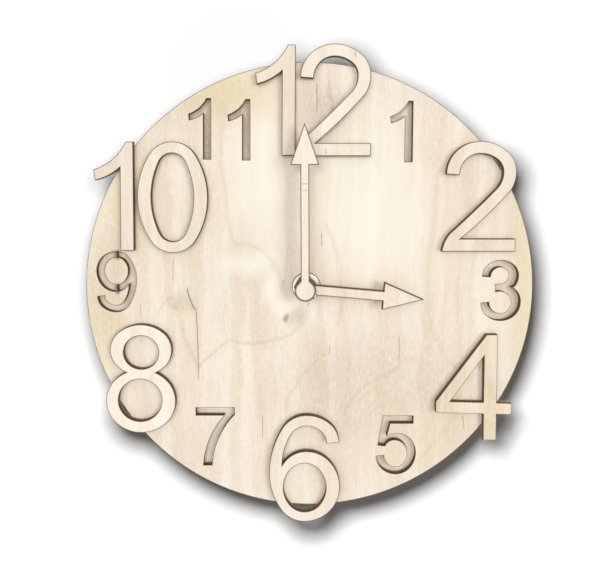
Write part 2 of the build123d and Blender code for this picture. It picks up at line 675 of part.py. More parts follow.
def setting_arbor():
    """The staff of the setting knob, with its pinion in the motion work."""
    phase = meshing_phase(SETTING_TEETH, MINUTE_WHEEL_TEETH, 0, SETTING_BEARING)
    pinion = gear(
        pinion_outline(SETTING_TEETH, MOTION_MODULE, phase),
        MOTION_BACK - PINION_OVERHANG, MOTION_BACK + WHEEL_THICKNESS + PINION_OVERHANG,
    )
    staff = rod(SETTING_STAFF, KNOB_CLEARANCE, FRONT_WALL - END_PLAY)
    return Pos(SETTING_AT[0], SETTING_AT[1], 0) * (pinion + staff)


def setting_knob():
    """The ribbed thumb wheel that sets the hands, sunk in a well in the back."""
    knob = rod(KNOB_DIAMETER, KNOB_CLEARANCE, KNOB_CLEARANCE + KNOB_HEIGHT)
    for index in range(KNOB_RIBS):
        groove = Pos(KNOB_DIAMETER / 2, 0, 0) * RegularPolygon(KNOB_RIB_DEPTH, 4, rotation=45)
        turned = Rot(0, 0, index * 360 / KNOB_RIBS) * groove
        knob -= plate(turned, KNOB_CLEARANCE, KNOB_CLEARANCE + KNOB_HEIGHT)
    knob -= rod(SETTING_STAFF, KNOB_CLEARANCE, KNOB_CLEARANCE + KNOB_HEIGHT)
    return Pos(SETTING_AT[0], SETTING_AT[1], 0) * knob


# Fixing through the dial

def threaded_bushing():
    """The sleeve that holds the movement to the dial and carries the hour pipe."""
    sleeve = rod(BUSHING_DIAMETER, FRONT_WALL, BUSHING_END)
    sleeve = chamfer(sleeve.edges().sort_by(Axis.Z)[-1], CHAMFER)
    flange = rod(FLANGE_DIAMETER, FLANGE_BACK, FRONT_WALL)
    return sleeve + flange - rod(HOUR_PIPE + 2 * RUNNING_CLEARANCE, FLANGE_BACK, BUSHING_END)


def dial_washer():
    """The bright washer, which lies as far to the right as its loose bore lets it."""
    shift = (WASHER_BORE - BUSHING_DIAMETER) / 2 - RUNNING_CLEARANCE
    washer = tube(WASHER_DIAMETER, WASHER_BORE, DIAL_FACE, WASHER_FACE, (shift, 0))
    rim = washer.edges().filter_by(GeomType.CIRCLE).group_by(Axis.Z)[-1].sort_by(SortBy.LENGTH)[-1]
    return chamfer(rim, WASHER_THICKNESS / 2)


def hex_nut():
    """A thin hexagon nut with its corners turned off."""
    nut = plate(RegularPolygon(NUT_ACROSS_FLATS / 2, 6, major_radius=False), WASHER_FACE, NUT_FACE)
    corner = NUT_ACROSS_FLATS / math.sqrt(3)
    round_off = Pos(0, 0, WASHER_FACE) * Cone(
        corner + NUT_THICKNESS, corner - CHAMFER, NUT_THICKNESS,
        align=(Align.CENTER, Align.CENTER, Align.MIN),
    )
    return (nut & round_off) - rod(BUSHING_DIAMETER, WASHER_FACE, NUT_FACE)


def rubber_washer():
    return tube(GASKET_DIAMETER, BUSHING_DIAMETER, CASE_DEPTH, BACKING_BACK)


# Movement case

def case_outline(width, corner):
    return RectangleRounded(width, width, corner)


CELL_HEIGHT = FRONT_WALL - CELL_CLEARANCE - CELL_DIAMETER / 2
LEAD_BACK = BOARD_HEIGHT + BOARD_THICKNESS
LEAD_FACE = LEAD_BACK + LEAD_WIDTH
LEG_PLACES = [
    (PLATE_LEFT + LEG_INSET, PLATE_BOTTOM + LEG_INSET),
    (PLATE_RIGHT - LEG_INSET, PLATE_BOTTOM + LEG_INSET),
    (PLATE_LEFT + LEG_INSET, PLATE_TOP - LEG_INSET),
]
BOARD_POSTS = [
    (BOARD_LEFT + BOARD_POST / 2, BOARD_BOTTOM + BOARD_POST / 2),
    (BOARD_LEFT + BOARD_WIDTH - BOARD_POST / 2, BOARD_BOTTOM + BOARD_LENGTH - BOARD_POST / 2),
]


def shell(back, face, inner_back, inner_face):
    """The square case wall between two heights, hollow between two others."""
    outer = plate(case_outline(CASE_WIDTH, CASE_CORNER), back, face)
    inner = case_outline(CASE_WIDTH - 2 * CASE_WALL, CASE_CORNER - CASE_WALL)
    return outer - plate(inner, inner_back, inner_face)


def partition(back, face):
    """The wall between the gear room and the battery bay."""
    return block(-BAY_HALF, BAY_HALF, BAY_TOP - PARTITION, BAY_TOP, back, face)


def latches(gap):
    """Four tabs of the front shell that lie in pockets of the back shell, or with a gap, the pockets."""
    inner, outer = CASE_WIDTH / 2 - LATCH_THICKNESS - gap, CASE_WIDTH / 2
    tabs = []
    for low in (-LATCH_PLACE - LATCH_WIDTH, LATCH_PLACE):
        for left, right in ((inner, outer), (-outer, -inner)):
            tabs.append(block(
                left, right, low - gap, low + LATCH_WIDTH + gap,
                PARTING_HEIGHT - LATCH_REACH - gap, PARTING_HEIGHT,
            ))
    return tabs


def front_case():
    """The front shell, with its latches, the minute wheel's stud and posts for plates and board."""
    case = shell(PARTING_HEIGHT, CASE_DEPTH, PARTING_HEIGHT, FRONT_WALL)
    case += partition(PARTING_HEIGHT, FRONT_WALL)
    for tab in latches(0):
        case += tab
    for side in (-1, 1):
        inner, outer = side * (BAY_HALF - CONTACT_THICKNESS - LEAD_GAP), side * BAY_HALF
        case -= block(
            min(inner, outer), max(inner, outer), BAY_TOP - PARTITION, BAY_TOP,
            LEAD_BACK - LEAD_GAP, LEAD_FACE + LEAD_GAP,
        )
    case += rod(STUD_DIAMETER, MOTION_BACK - PINION_OVERHANG, FRONT_WALL, MINUTE_WHEEL_AT)
    for place in BOARD_POSTS:
        case += rod(BOARD_POST, BOARD_HEIGHT + BOARD_THICKNESS, FRONT_WALL, place)
    for place in LEG_PLACES:
        case += tube(LEG_DIAMETER, SCREW_DIAMETER, TRAIN_PLATE_FACE, FRONT_WALL, place)
    case -= rod(BUSHING_DIAMETER, FRONT_WALL, CASE_DEPTH)
    return case


def back_case():
    """The back shell, open over the cell, with a well for the setting knob and a locating lip."""
    case = shell(0, PARTING_HEIGHT, CASE_WALL, PARTING_HEIGHT)
    case += partition(0, PARTING_HEIGHT)
    case -= block(-BAY_HALF, BAY_HALF, -BAY_HALF, BAY_TOP - PARTITION, 0, CASE_WALL)
    for pocket in latches(CASE_GAP):
        case -= pocket
    seat = CASE_WIDTH - 2 * CASE_WALL
    ring = case_outline(seat, CASE_CORNER - CASE_WALL)
    opening = case_outline(seat - 2 * (CASE_GAP + LIP_THICKNESS), CASE_CORNER - CASE_WALL)
    lip = plate(ring - opening, PARTING_HEIGHT - LIP_HEIGHT, PARTING_HEIGHT)
    raised = case_outline(seat - 2 * CASE_GAP, CASE_CORNER - CASE_WALL) - opening
    lip += plate(raised, PARTING_HEIGHT, PARTING_HEIGHT + LIP_HEIGHT)
    case += lip & block(-BAY_HALF, BAY_HALF, BAY_TOP + PARTITION, BAY_HALF, 0, CASE_DEPTH)
    well = KNOB_DIAMETER / 2 + KNOB_CLEARANCE
    top = WELL_FLOOR + WELL_WALL
    case += rod(2 * (well + WELL_WALL), 0, top, SETTING_AT)
    case -= rod(2 * well, 0, WELL_FLOOR, SETTING_AT)
    case -= rod(SETTING_STAFF + 2 * RUNNING_CLEARANCE, WELL_FLOOR, top, SETTING_AT)
    return case


# Train plates

def plate_outline():
    width, height = PLATE_RIGHT - PLATE_LEFT, PLATE_TOP - PLATE_BOTTOM
    middle = ((PLATE_LEFT + PLATE_RIGHT) / 2, (PLATE_BOTTOM + PLATE_TOP) / 2)
    return Pos(middle[0], middle[1], 0) * RectangleRounded(width, height, PLATE_CORNER)


def bearing_hole(diameter, back, face, at=(0, 0)):
    return rod(diameter + 2 * RUNNING_CLEARANCE, back, face, at)


def train_plate():
    """The middle plate, which lies on three posts of the front case."""
    back, face = TRAIN_PLATE_BACK, TRAIN_PLATE_FACE
    sheet = plate(plate_outline(), back, face)
    for place in LEG_PLACES:
        sheet -= rod(SCREW_DIAMETER + 2 * SCREW_CLEARANCE, back, face, place)
    sheet -= bearing_hole(SECONDS_ARBOR, back, face)
    sheet -= bearing_hole(STAFF, back, face, THIRD_AT)
    sheet -= bearing_hole(PIVOT, back, face, INTERMEDIATE_AT)
    sheet -= bearing_hole(PIVOT, back, face, ROTOR_AT)
    return sheet - bearing_hole(SETTING_STAFF, back, face, SETTING_AT)


def rear_plate():
    """The rear plate, on legs that stand on the train plate."""
    back, face = REAR_PLATE_BACK, REAR_PLATE_FACE
    sheet = plate(plate_outline(), back, face)
    for place in LEG_PLACES:
        sheet += rod(LEG_DIAMETER, face, TRAIN_PLATE_BACK, place)
        sheet -= rod(SCREW_DIAMETER + 2 * SCREW_CLEARANCE, back, TRAIN_PLATE_BACK, place)
    sheet -= bearing_hole(SECONDS_ARBOR, back, face)
    for place in (THIRD_AT, INTERMEDIATE_AT, ROTOR_AT):
        sheet -= bearing_hole(PIVOT, back, face, place)
    return sheet - bearing_hole(SETTING_STAFF, back, face, SETTING_AT)


def plate_screws():
    """Three small screws that hold both plates in the front case."""
    screws = []
    for place in LEG_PLACES:
        shank = rod(SCREW_DIAMETER, REAR_PLATE_BACK, TRAIN_PLATE_FACE + SCREW_BITE, place)
        head = rod(SCREW_HEAD_DIAMETER, REAR_PLATE_BACK - SCREW_HEAD, REAR_PLATE_BACK, place)
        screws.append(shank + head)
    return Compound(children=screws)


# Coil, stator and board

STATOR_BACK = TRAIN_PLATE_BACK - STATOR_THICKNESS
CORE_BACK = STATOR_BACK - CORE_THICKNESS
COIL_LEFT = ROTOR_AT[0] - COIL_LENGTH / 2
COIL_RIGHT = ROTOR_AT[0] + COIL_LENGTH / 2
COIL_AXIS_HEIGHT = CORE_BACK + CORE_THICKNESS / 2


def stator():
    """The soft iron sheet round the rotor, with two arms up to the coil's core."""
    hole = MAGNET_DIAMETER + 2 * STATOR_GAP
    low = ROTOR_AT[1] - STATOR_ARM / 2
    top = COIL_Y + CORE_WIDTH / 2
    left, right = COIL_LEFT - STATOR_ARM, COIL_RIGHT + STATOR_ARM
    sheet = block(left, right, low, low + STATOR_ARM, STATOR_BACK, TRAIN_PLATE_BACK)
    sheet += rod(hole + 2 * STATOR_RING, STATOR_BACK, TRAIN_PLATE_BACK, ROTOR_AT)
    for start in (left, right - STATOR_ARM):
        sheet += block(start, start + STATOR_ARM, low, top, STATOR_BACK, TRAIN_PLATE_BACK)
    return sheet - rod(hole, STATOR_BACK, TRAIN_PLATE_BACK, ROTOR_AT)


def coil_core():
    """The iron strip through the coil, lying on the stator's arms."""
    low = COIL_Y - CORE_WIDTH / 2
    return block(
        COIL_LEFT - STATOR_ARM, COIL_RIGHT + STATOR_ARM, low, low + CORE_WIDTH,
        CORE_BACK, STATOR_BACK,
    )


def across(shape):
    """Lays a piece that was made upright along the coil's axis."""
    return Pos(COIL_LEFT, COIL_Y, COIL_AXIS_HEIGHT) * Rot(0, 90, 0) * shape


def coil_bobbin():
    """The plastic bobbin: a thin sleeve with two end flanges, open for the core."""
    sleeve_diameter = math.hypot(CORE_WIDTH, CORE_THICKNESS) + 2 * BOBBIN_WALL
    bobbin = rod(sleeve_diameter, 0, COIL_LENGTH)
    for start in (0, COIL_LENGTH - BOBBIN_WALL):
        bobbin += rod(BOBBIN_FLANGE, start, start + BOBBIN_WALL)
    low = COIL_Y - CORE_WIDTH / 2
    return across(bobbin) - block(COIL_LEFT, COIL_RIGHT, low, low + CORE_WIDTH, CORE_BACK, STATOR_BACK)


def coil_winding():
    """The fine copper winding, as one sleeve between the flanges."""
    inner = math.hypot(CORE_WIDTH, CORE_THICKNESS) + 2 * BOBBIN_WALL
    return across(tube(COIL_DIAMETER, inner, BOBBIN_WALL, COIL_LENGTH - BOBBIN_WALL))


def circuit_board():
    """The small board on its two posts."""
    return block(
        BOARD_LEFT, BOARD_LEFT + BOARD_WIDTH, BOARD_BOTTOM, BOARD_BOTTOM + BOARD_LENGTH,
        BOARD_HEIGHT, BOARD_HEIGHT + BOARD_THICKNESS,
    )


def quartz_crystal():
    """The tuning-fork crystal in its round can, lying on the back of the board."""
    x = BOARD_LEFT + CRYSTAL_DIAMETER
    y = BOARD_BOTTOM + BOARD_LENGTH - CRYSTAL_LENGTH - CRYSTAL_DIAMETER
    can = Pos(x, y, BOARD_HEIGHT - CRYSTAL_DIAMETER / 2) * Rot(-90, 0, 0) * rod(
        CRYSTAL_DIAMETER, 0, CRYSTAL_LENGTH
    )
    return can


def driver_chip():
    """The round blob of resin over the driver chip, as a low cone."""
    x, y = BOARD_LEFT + BOARD_WIDTH / 2, BOARD_BOTTOM + BOARD_LENGTH / 2
    blob = Cone(CHIP_DIAMETER / 2 - CHIP_THICKNESS, CHIP_DIAMETER / 2, CHIP_THICKNESS,
                align=(Align.CENTER, Align.CENTER, Align.MAX))
    return Pos(x, y, BOARD_HEIGHT) * blob


# Cell and contacts

CONTACT_LOW = CELL_Y - CONTACT_WIDTH / 2


def battery():
    """One round cell, lying across the bay with its nub to the right."""
    body = rod(CELL_DIAMETER, 0, CELL_BODY)
    body = chamfer(body.edges().filter_by(GeomType.CIRCLE), CELL_CHAMFER)
    cell = body + rod(CELL_NUB_DIAMETER, CELL_BODY, CELL_LENGTH)
    return Pos(-CELL_LENGTH / 2, CELL_Y, CELL_HEIGHT) * Rot(0, 90, 0) * cell


def end_contact(inner_x, outer_x):
    """A sheet-metal contact at one end of the bay."""
    left, right = min(inner_x, outer_x), max(inner_x, outer_x)
    low = CELL_HEIGHT - CONTACT_WIDTH / 2
    return block(left, right, CONTACT_LOW, CONTACT_LOW + CONTACT_WIDTH, low, low + CONTACT_WIDTH)


def lead(left, right, top):
    """The part of a contact's strip that runs along the case walls inside these sides."""
    corner = CASE_CORNER - CASE_WALL
    inside = BAY_HALF - CONTACT_THICKNESS
    strip = case_outline(2 * BAY_HALF, corner) - case_outline(2 * inside, corner - CONTACT_THICKNESS)
    low = CONTACT_LOW + CONTACT_WIDTH
    return plate(strip, LEAD_BACK, LEAD_FACE) & block(left, right, low, top, LEAD_BACK, LEAD_FACE)


def contact_positive():
    """The contact at the nub's end; its strip runs round the corner and down to the board."""
    inner = BAY_HALF - CONTACT_THICKNESS
    middle = BOARD_LEFT + BOARD_WIDTH / 2
    plate_and_dimple = end_contact(inner, BAY_HALF) + dimple(inner, -1)
    tab = block(
        middle, middle + LEAD_WIDTH, BOARD_BOTTOM + BOARD_LENGTH - LEAD_TAB, BAY_HALF,
        LEAD_BACK, LEAD_BACK + CONTACT_THICKNESS,
    )
    return plate_and_dimple + lead(middle, BAY_HALF, BAY_HALF) + tab


def contact_negative():
    """The contact at the cell's flat end; its strip runs straight up to the board."""
    inner = -BAY_HALF + CONTACT_THICKNESS
    top = BOARD_BOTTOM + BOARD_LENGTH - BOARD_POST
    plate_and_dimple = end_contact(inner, -BAY_HALF) + dimple(inner, 1)
    tab = block(
        -BAY_HALF, BOARD_LEFT + LEAD_TAB, top - LEAD_WIDTH, top, LEAD_BACK, LEAD_BACK + CONTACT_THICKNESS
    )
    return plate_and_dimple + lead(-BAY_HALF, inner, top) + tab


def dimple(base_x, direction):
    """The pressed bump that touches the cell, a short cone."""
    cone = Cone(CELL_NUB_DIAMETER / 2, CELL_NUB_DIAMETER / 4, CONTACT_REACH,
                align=(Align.CENTER, Align.CENTER, Align.MIN))
    return Pos(base_x, CELL_Y, CELL_HEIGHT) * Rot(0, 90 * direction, 0) * cone


# Hanger

def hanger():
    """The moulded loop above the movement, with a toothed slot for a nail."""
    bottom = CASE_WIDTH / 2
    top = bottom + HANGER_RISE
    loop = Pos(0, bottom + HANGER_RISE / 2, 0) * RectangleRounded(HANGER_WIDTH, HANGER_RISE, HANGER_CORNER)
    foot = Pos(0, bottom + HANGER_RISE / 4, 0) * Rectangle(HANGER_WIDTH, HANGER_RISE / 2)
    slot_top = top - HANGER_CORNER
    half = HANGER_SLOT_WIDTH / 2
    slot = make_face(Polyline(
        (-half, slot_top - HANGER_SLOT_HEIGHT), (half, slot_top - HANGER_SLOT_HEIGHT),
        (half, slot_top), (-half, slot_top), close=True,
    ))
    for index in range(HANGER_NOTCHES):
        x = (index - (HANGER_NOTCHES - 1) / 2) * HANGER_SLOT_WIDTH / HANGER_NOTCHES
        slot += Pos(x, slot_top, 0) * Circle(HANGER_NOTCH)
    return plate(loop + foot - slot, 0, HANGER_THICKNESS)


PIECES = {
    "backing_disc": backing_disc,
    "dial_disc": dial_disc,
    "hour_hand": hour_hand,
    "minute_hand": minute_hand,
    "hour_wheel": hour_wheel,
    "minute_arbor": minute_arbor,
    "centre_wheel": centre_wheel,
    "third_wheel": third_wheel,
    "seconds_wheel": seconds_wheel,
    "seconds_arbor": seconds_arbor,
    "intermediate_wheel": intermediate_wheel,
    "rotor_pinion": rotor_pinion,
    "rotor_magnet": rotor_magnet,
    "minute_wheel": minute_wheel,
    "setting_arbor": setting_arbor,
    "setting_knob": setting_knob,
    "threaded_bushing": threaded_bushing,
    "dial_washer": dial_washer,
    "hex_nut": hex_nut,
    "rubber_washer": rubber_washer,
    "front_case": front_case,
    "back_case": back_case,
    "train_plate": train_plate,
    "rear_plate": rear_plate,
    "plate_screws": plate_screws,
    "stator": stator,
    "coil_core": coil_core,
    "coil_bobbin": coil_bobbin,
    "coil_winding": coil_winding,
    "circuit_board": circuit_board,
    "quartz_crystal": quartz_crystal,
    "driver_chip": driver_chip,
    "battery": battery,
    "contact_positive": contact_positive,
    "contact_negative": contact_negative,
    "hanger": hanger,
}

for node, make in PIECES.items():
    write(make(), node)

for node, (name, x_share, y_share) in RAISED_PLACE_SHARES.items():
    write(raised_numeral(name, x_share, y_share), node)

write(hand_bush(HOUR_BUSH_DIAMETER, HOUR_PIPE, HOUR_HAND_BACK, HOUR_HAND_FACE), "hour_hand_bush")
write(
    hand_bush(MINUTE_BUSH_DIAMETER, MINUTE_ARBOR, MINUTE_HAND_BACK, MINUTE_HAND_FACE - HUB_SKIN),
    "minute_hand_bush",
)
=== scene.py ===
# %% [markdown]
# # A plywood wall clock, dressed over its CAD model
# The clock is two discs of thin birch plywood with numerals and two arrow hands cut from the
# same sheet by a laser, and a battery movement behind. Its solids already have the right
# shapes, so this lesson adds what a solid can't show: the veneer's figure, the scorched edges
# that the laser leaves, metal, moulded plastic, and the light of the photograph.

import math

import bmesh
import bpy
from mathutils import Matrix, Vector


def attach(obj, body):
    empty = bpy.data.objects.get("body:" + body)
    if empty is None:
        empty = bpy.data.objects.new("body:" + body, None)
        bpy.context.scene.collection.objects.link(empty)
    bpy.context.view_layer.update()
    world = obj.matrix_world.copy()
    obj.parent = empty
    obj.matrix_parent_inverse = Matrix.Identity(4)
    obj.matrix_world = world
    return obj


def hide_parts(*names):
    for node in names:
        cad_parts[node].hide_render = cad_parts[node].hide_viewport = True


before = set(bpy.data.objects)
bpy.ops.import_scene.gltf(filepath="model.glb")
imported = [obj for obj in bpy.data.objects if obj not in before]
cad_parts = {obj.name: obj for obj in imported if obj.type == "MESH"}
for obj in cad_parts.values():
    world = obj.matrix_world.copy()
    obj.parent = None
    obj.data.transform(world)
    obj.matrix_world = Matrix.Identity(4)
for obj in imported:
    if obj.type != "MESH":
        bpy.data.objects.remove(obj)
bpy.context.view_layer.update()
MM = 0.001

# %% [markdown]
# ## The camera
# The photograph was taken from close by, a little above the hands, so the numerals' upper
# edges show at the bottom of the dial and their lower edges at the top. The place and the
# focal length come from the rim's ellipse, the washer and the lean of the upright strokes.
# The hands' axis stands above the middle of the picture, which is what the shift is for.

# %% Place the camera
PHOTO_WIDTH = 600
FOCAL_LENGTH_PIXELS = 504.5
AXIS_ABOVE_MIDDLE_PIXELS = 92.4
TILT_DEGREES = 2.66
CAMERA_AT = (-2.83 * MM, -303.8 * MM, 63.86 * MM)
NEAREST_SEEN = 10 * MM

lens = bpy.data.cameras.new("camera")
lens.sensor_width = 36
lens.lens = FOCAL_LENGTH_PIXELS / PHOTO_WIDTH * lens.sensor_width
lens.shift_y = -AXIS_ABOVE_MIDDLE_PIXELS / PHOTO_WIDTH
lens.clip_start = NEAREST_SEEN
camera = bpy.data.objects.new("camera", lens)
camera.location = CAMERA_AT
camera.rotation_euler = (math.radians(90 - TILT_DEGREES), 0, 0)
bpy.context.scene.collection.objects.link(camera)
bpy.context.scene.camera = camera
bpy.context.scene.view_settings.view_transform = "Standard"
print("camera", [round(value / MM) for value in camera.location], "mm, lens", round(lens.lens, 2), "mm")

# %% [markdown]
# ## A short way to write materials
# A procedural material is a tree of small nodes. Drawn by hand in the editor it is easy to
# read, but in a script each node and link takes a line. So two small classes do the wiring:
# `Signal` wraps one output and turns Python's operators into Math nodes, and `Finish` adds
# every other node by its type, its settings and its sockets.

# %% Signal and Finish
class Signal:
    """One output of a node tree. Arithmetic on it adds Math nodes to the same tree."""

    def __init__(self, finish, output):
        self.finish, self.output = finish, output

    def __add__(self, other):
        return self.finish.math("ADD", self, other)

    def __sub__(self, other):
        return self.finish.math("SUBTRACT", self, other)

    def __rsub__(self, other):
        return self.finish.math("SUBTRACT", other, self)

    def __mul__(self, other):
        return self.finish.math("MULTIPLY", self, other)

    def __truediv__(self, other):
        return self.finish.math("DIVIDE", self, other)

    def __abs__(self):
        return self.finish.math("ABSOLUTE", self)

    def at_least(self, other):
        return self.finish.math("MAXIMUM", self, other)

    __radd__, __rmul__ = __add__, __mul__


class Finish:
    """A node tree that is built from Python: a material's, or the world's."""

    def __init__(self, owner):
        owner.use_nodes = True
        self.owner, self.tree = owner, owner.node_tree
        self.tree.nodes.clear()

    def add(self, kind, settings, sockets, output=0):
        """Adds a node: its settings first, then the value or link of each socket."""
        node = self.tree.nodes.new(kind)
        for name, setting in settings.items():
            setattr(node, name, setting)
        for name, value in sockets.items():
            if isinstance(value, Signal):
                self.tree.links.new(value.output, node.inputs[name])
            else:
                node.inputs[name].default_value = value
        return Signal(self, node.outputs[output]) if node.outputs else node

    def math(self, operation, *values):
        return self.add("ShaderNodeMath", {"operation": operation}, dict(enumerate(values)))

    def vector(self, x, y, z):
        return self.add("ShaderNodeCombineXYZ", {}, {0: x, 1: y, 2: z})

    def millimetres(self):
        """The three object coordinates, in millimetres."""
        here = self.add("ShaderNodeTexCoord", {}, {}, "Object")
        split = self.add("ShaderNodeSeparateXYZ", {}, {0: here})
        outputs = split.output.node.outputs
        return [Signal(self, output) * (1 / MM) for output in outputs]

    def noise(self, vector, detail=2.0, roughness=0.5):
        sockets = {"Vector": vector, "Scale": 1, "Detail": detail, "Roughness": roughness}
        return self.add("ShaderNodeTexNoise", {}, sockets)

    def ramp(self, value, low, high):
        """0 below low, 1 above high, and smooth between; low may be the larger one."""
        sockets = {"Value": value, "From Min": low, "From Max": high}
        return self.add("ShaderNodeMapRange", {"interpolation_type": "SMOOTHSTEP"}, sockets)

    def mix(self, factor, first, second):
        """A colour between two, by a factor from 0 to 1. The Mix node keeps colours in 6 and 7."""
        return self.add("ShaderNodeMix", {"data_type": "RGBA"}, {0: factor, 6: first, 7: second}, 2)

    def bump(self, height, depth, strength):
        """A bump of the given depth in millimetres."""
        sockets = {"Height": height, "Distance": depth * MM, "Strength": strength}
        return self.add("ShaderNodeBump", {}, sockets)

    def surface(self, **sockets):
        """Ends a material with one Principled shader."""
        named = {name.replace("_", " "): value for name, value in sockets.items()}
        shader = self.add("ShaderNodeBsdfPrincipled", {}, named)
        self.add("ShaderNodeOutputMaterial", {}, {"Surface": shader})
        return self.owner


def colour(red, green, blue):
    """A screen colour of three numbers up to 255, as the linear light that shaders use."""
    shares = [value / 255 for value in (red, green, blue)]
    linear = [
        share / 12.92 if share < 0.04045 else ((share + 0.055) / 1.055) ** 2.4 for share in shares
    ]
    return (*linear, 1.0)


WHITE = colour(255, 255, 255)
print("a birch white of 240, 228, 210 is", [round(value, 3) for value in colour(240, 228, 210)])

# %% [markdown]
# ## The wall and the white behind it
# The clock hangs on a white wall, which stands in for a floor. The wall only has to catch
# the clock's soft shadow, so it is a plain grid just behind the clock that neither shades nor
# tints it, and seen from behind it is clear, so that the movement can be looked at too. The
# world is white where the camera or a reflection meets it, and dimmer where it lights the
# clock.

# %% The world
FILL_LIGHT = 0.15

world = Finish(bpy.data.worlds.new("studio"))
bpy.context.scene.world = world.owner
rays = world.add("ShaderNodeLightPath", {}, {}).output.node.outputs
by_camera, by_gloss, through_glass = [
    Signal(world, rays[name]) for name in ("Is Camera Ray", "Is Glossy Ray", "Is Transmission Ray")
]
seen = by_camera.at_least(by_gloss).at_least(through_glass)
strength = seen * (1 - FILL_LIGHT) + FILL_LIGHT
sky = world.add("ShaderNodeBackground", {}, {"Color": WHITE, "Strength": strength})
world.add("ShaderNodeOutputWorld", {}, {"Surface": sky})
print("fill light", FILL_LIGHT)

# %% The wall
WALL_SIDE = 1400 * MM
WALL_BEHIND = 0.5 * MM

grid = bmesh.new()
bmesh.ops.create_grid(grid, x_segments=1, y_segments=1, size=WALL_SIDE / 2)
bmesh.ops.rotate(grid, verts=grid.verts, matrix=Matrix.Rotation(math.radians(90), 3, "X"))
bmesh.ops.translate(grid, verts=grid.verts, vec=(0, WALL_BEHIND, 0))
mesh = bpy.data.meshes.new("wall")
grid.to_mesh(mesh)
grid.free()
wall = bpy.data.objects.new("wall", mesh)
bpy.context.scene.collection.objects.link(wall)
for ray in ("diffuse", "glossy", "transmission", "shadow"):
    setattr(wall, f"visible_{ray}", False)

paint = Finish(bpy.data.materials.new("wall_paint"))
matt = paint.add("ShaderNodeBsdfDiffuse", {}, {"Color": WHITE})
clear = paint.add("ShaderNodeBsdfTransparent", {}, {})
back_side = paint.add("ShaderNodeNewGeometry", {}, {}, "Backfacing")
glow = paint.add("ShaderNodeEmission", {}, {"Color": WHITE})
lit = paint.add("ShaderNodeAddShader", {}, {0: matt, 1: glow})
mixed = paint.add("ShaderNodeMixShader", {}, {0: back_side, 1: lit, 2: clear})
paint.add("ShaderNodeOutputMaterial", {}, {"Surface": mixed})
mesh.materials.append(paint.owner)
print("the wall faces", tuple(round(value) for value in mesh.polygons[0].normal))

# %% [markdown]
# ## The lamps
# In the photograph the hands throw a faint, wide shadow to their left and a fainter one to
# their right. So the dial gets a broad key from the right, a weaker lamp from the upper left
# and a very broad front light, which leaves only soft dark seams round the numerals. A fourth
# lamp serves the back, for views from behind. A sun of strength pi that faces a surface shows
# its colour as it is written, so the fill and the three levels in front add up to about one.

# %% Four broad suns
def sun(name, level, softness, direction):
    """A sun along a direction; level is a share of full light, softness is in degrees."""
    data = bpy.data.lights.new(name, "SUN")
    facing = abs(Vector(direction).normalized().y)
    data.energy = level * math.pi / facing
    data.angle = math.radians(softness)
    lamp = bpy.data.objects.new(name, data)
    lamp.rotation_mode = "QUATERNION"
    lamp.rotation_quaternion = Vector(direction).to_track_quat("-Z", "Y")
    bpy.context.scene.collection.objects.link(lamp)
    return lamp


clock_lamps = [
    sun("key_lamp", level=0.24, softness=30, direction=(-0.82, 1.0, -0.16)),
    sun("side_lamp", level=0.18, softness=20, direction=(0.3, 1.0, -0.3)),
    sun("front_lamp", level=0.46, softness=120, direction=(0.05, 1.0, -0.2)),
    sun("back_lamp", level=0.75, softness=60, direction=(-0.3, -1.0, -0.6)),
]
print("lamps", [round(lamp.data.energy, 2) for lamp in clock_lamps])

# %% [markdown]
# The shadow on the wall shows on every side but the upper left, and it is widest at the lower
# right. Only a lamp nearer than the camera does that, so a round one hangs in front of the
# numeral twelve and lights nothing but the wall. Its light falls off from the middle by the
# fourth power of a cosine, so the wall's paint is darker there by the same share. Far out,
# where white paint no longer makes up for it, the paint glows by what the lamp falls short.

# %% The lamp of the wall
WALL_LAMP_AT = (-36 * MM, -224 * MM, 109 * MM)
WALL_LAMP_SIZE = 145 * MM
PAINT_IN_MIDDLE = 0.1
LIGHT_MARGIN = 1.06

data = bpy.data.lights.new("wall_lamp", "AREA")
data.shape = "DISK"
data.size = WALL_LAMP_SIZE
reach = WALL_BEHIND - WALL_LAMP_AT[1]
data.energy = (math.pi * reach) ** 2 / PAINT_IN_MIDDLE * LIGHT_MARGIN
wall_lamp = bpy.data.objects.new("wall_lamp", data)
wall_lamp.location = WALL_LAMP_AT
wall_lamp.rotation_euler = (math.radians(90), 0, 0)
wall_lamp.visible_camera = False
bpy.context.scene.collection.objects.link(wall_lamp)

x, y, z = paint.millimetres()
across, up = x - WALL_LAMP_AT[0] / MM, z - WALL_LAMP_AT[2] / MM
slant = (across * across + up * up) / (reach / MM) ** 2 + 1
needed = slant * slant * PAINT_IN_MIDDLE
tone = paint.math("MINIMUM", needed, 1)
short = 1 - paint.math("DIVIDE", 1, needed.at_least(1))
for shader, amount in ((matt, tone), (glow, short)):
    grey = paint.vector(amount, amount, amount)
    paint.tree.links.new(grey.output, shader.output.node.inputs["Color"])
print("wall lamp", round(data.energy, 3), "W")

# %% [markdown]
# ## Birch veneer
# Rotary-cut birch is nearly white, with fine upright fibres, small brown flecks and now and
# then a growth ring that the knife has cut at a slant, which shows as a wandering tan line.
# An image could be wrapped on it, but noise stretched along the grain does the same at any
# scale and costs nothing. The few marks that make this sheet itself are drawn one by one, as
# curves through three points or soft ovals, with their places in millimetres from the hands'
# axis.

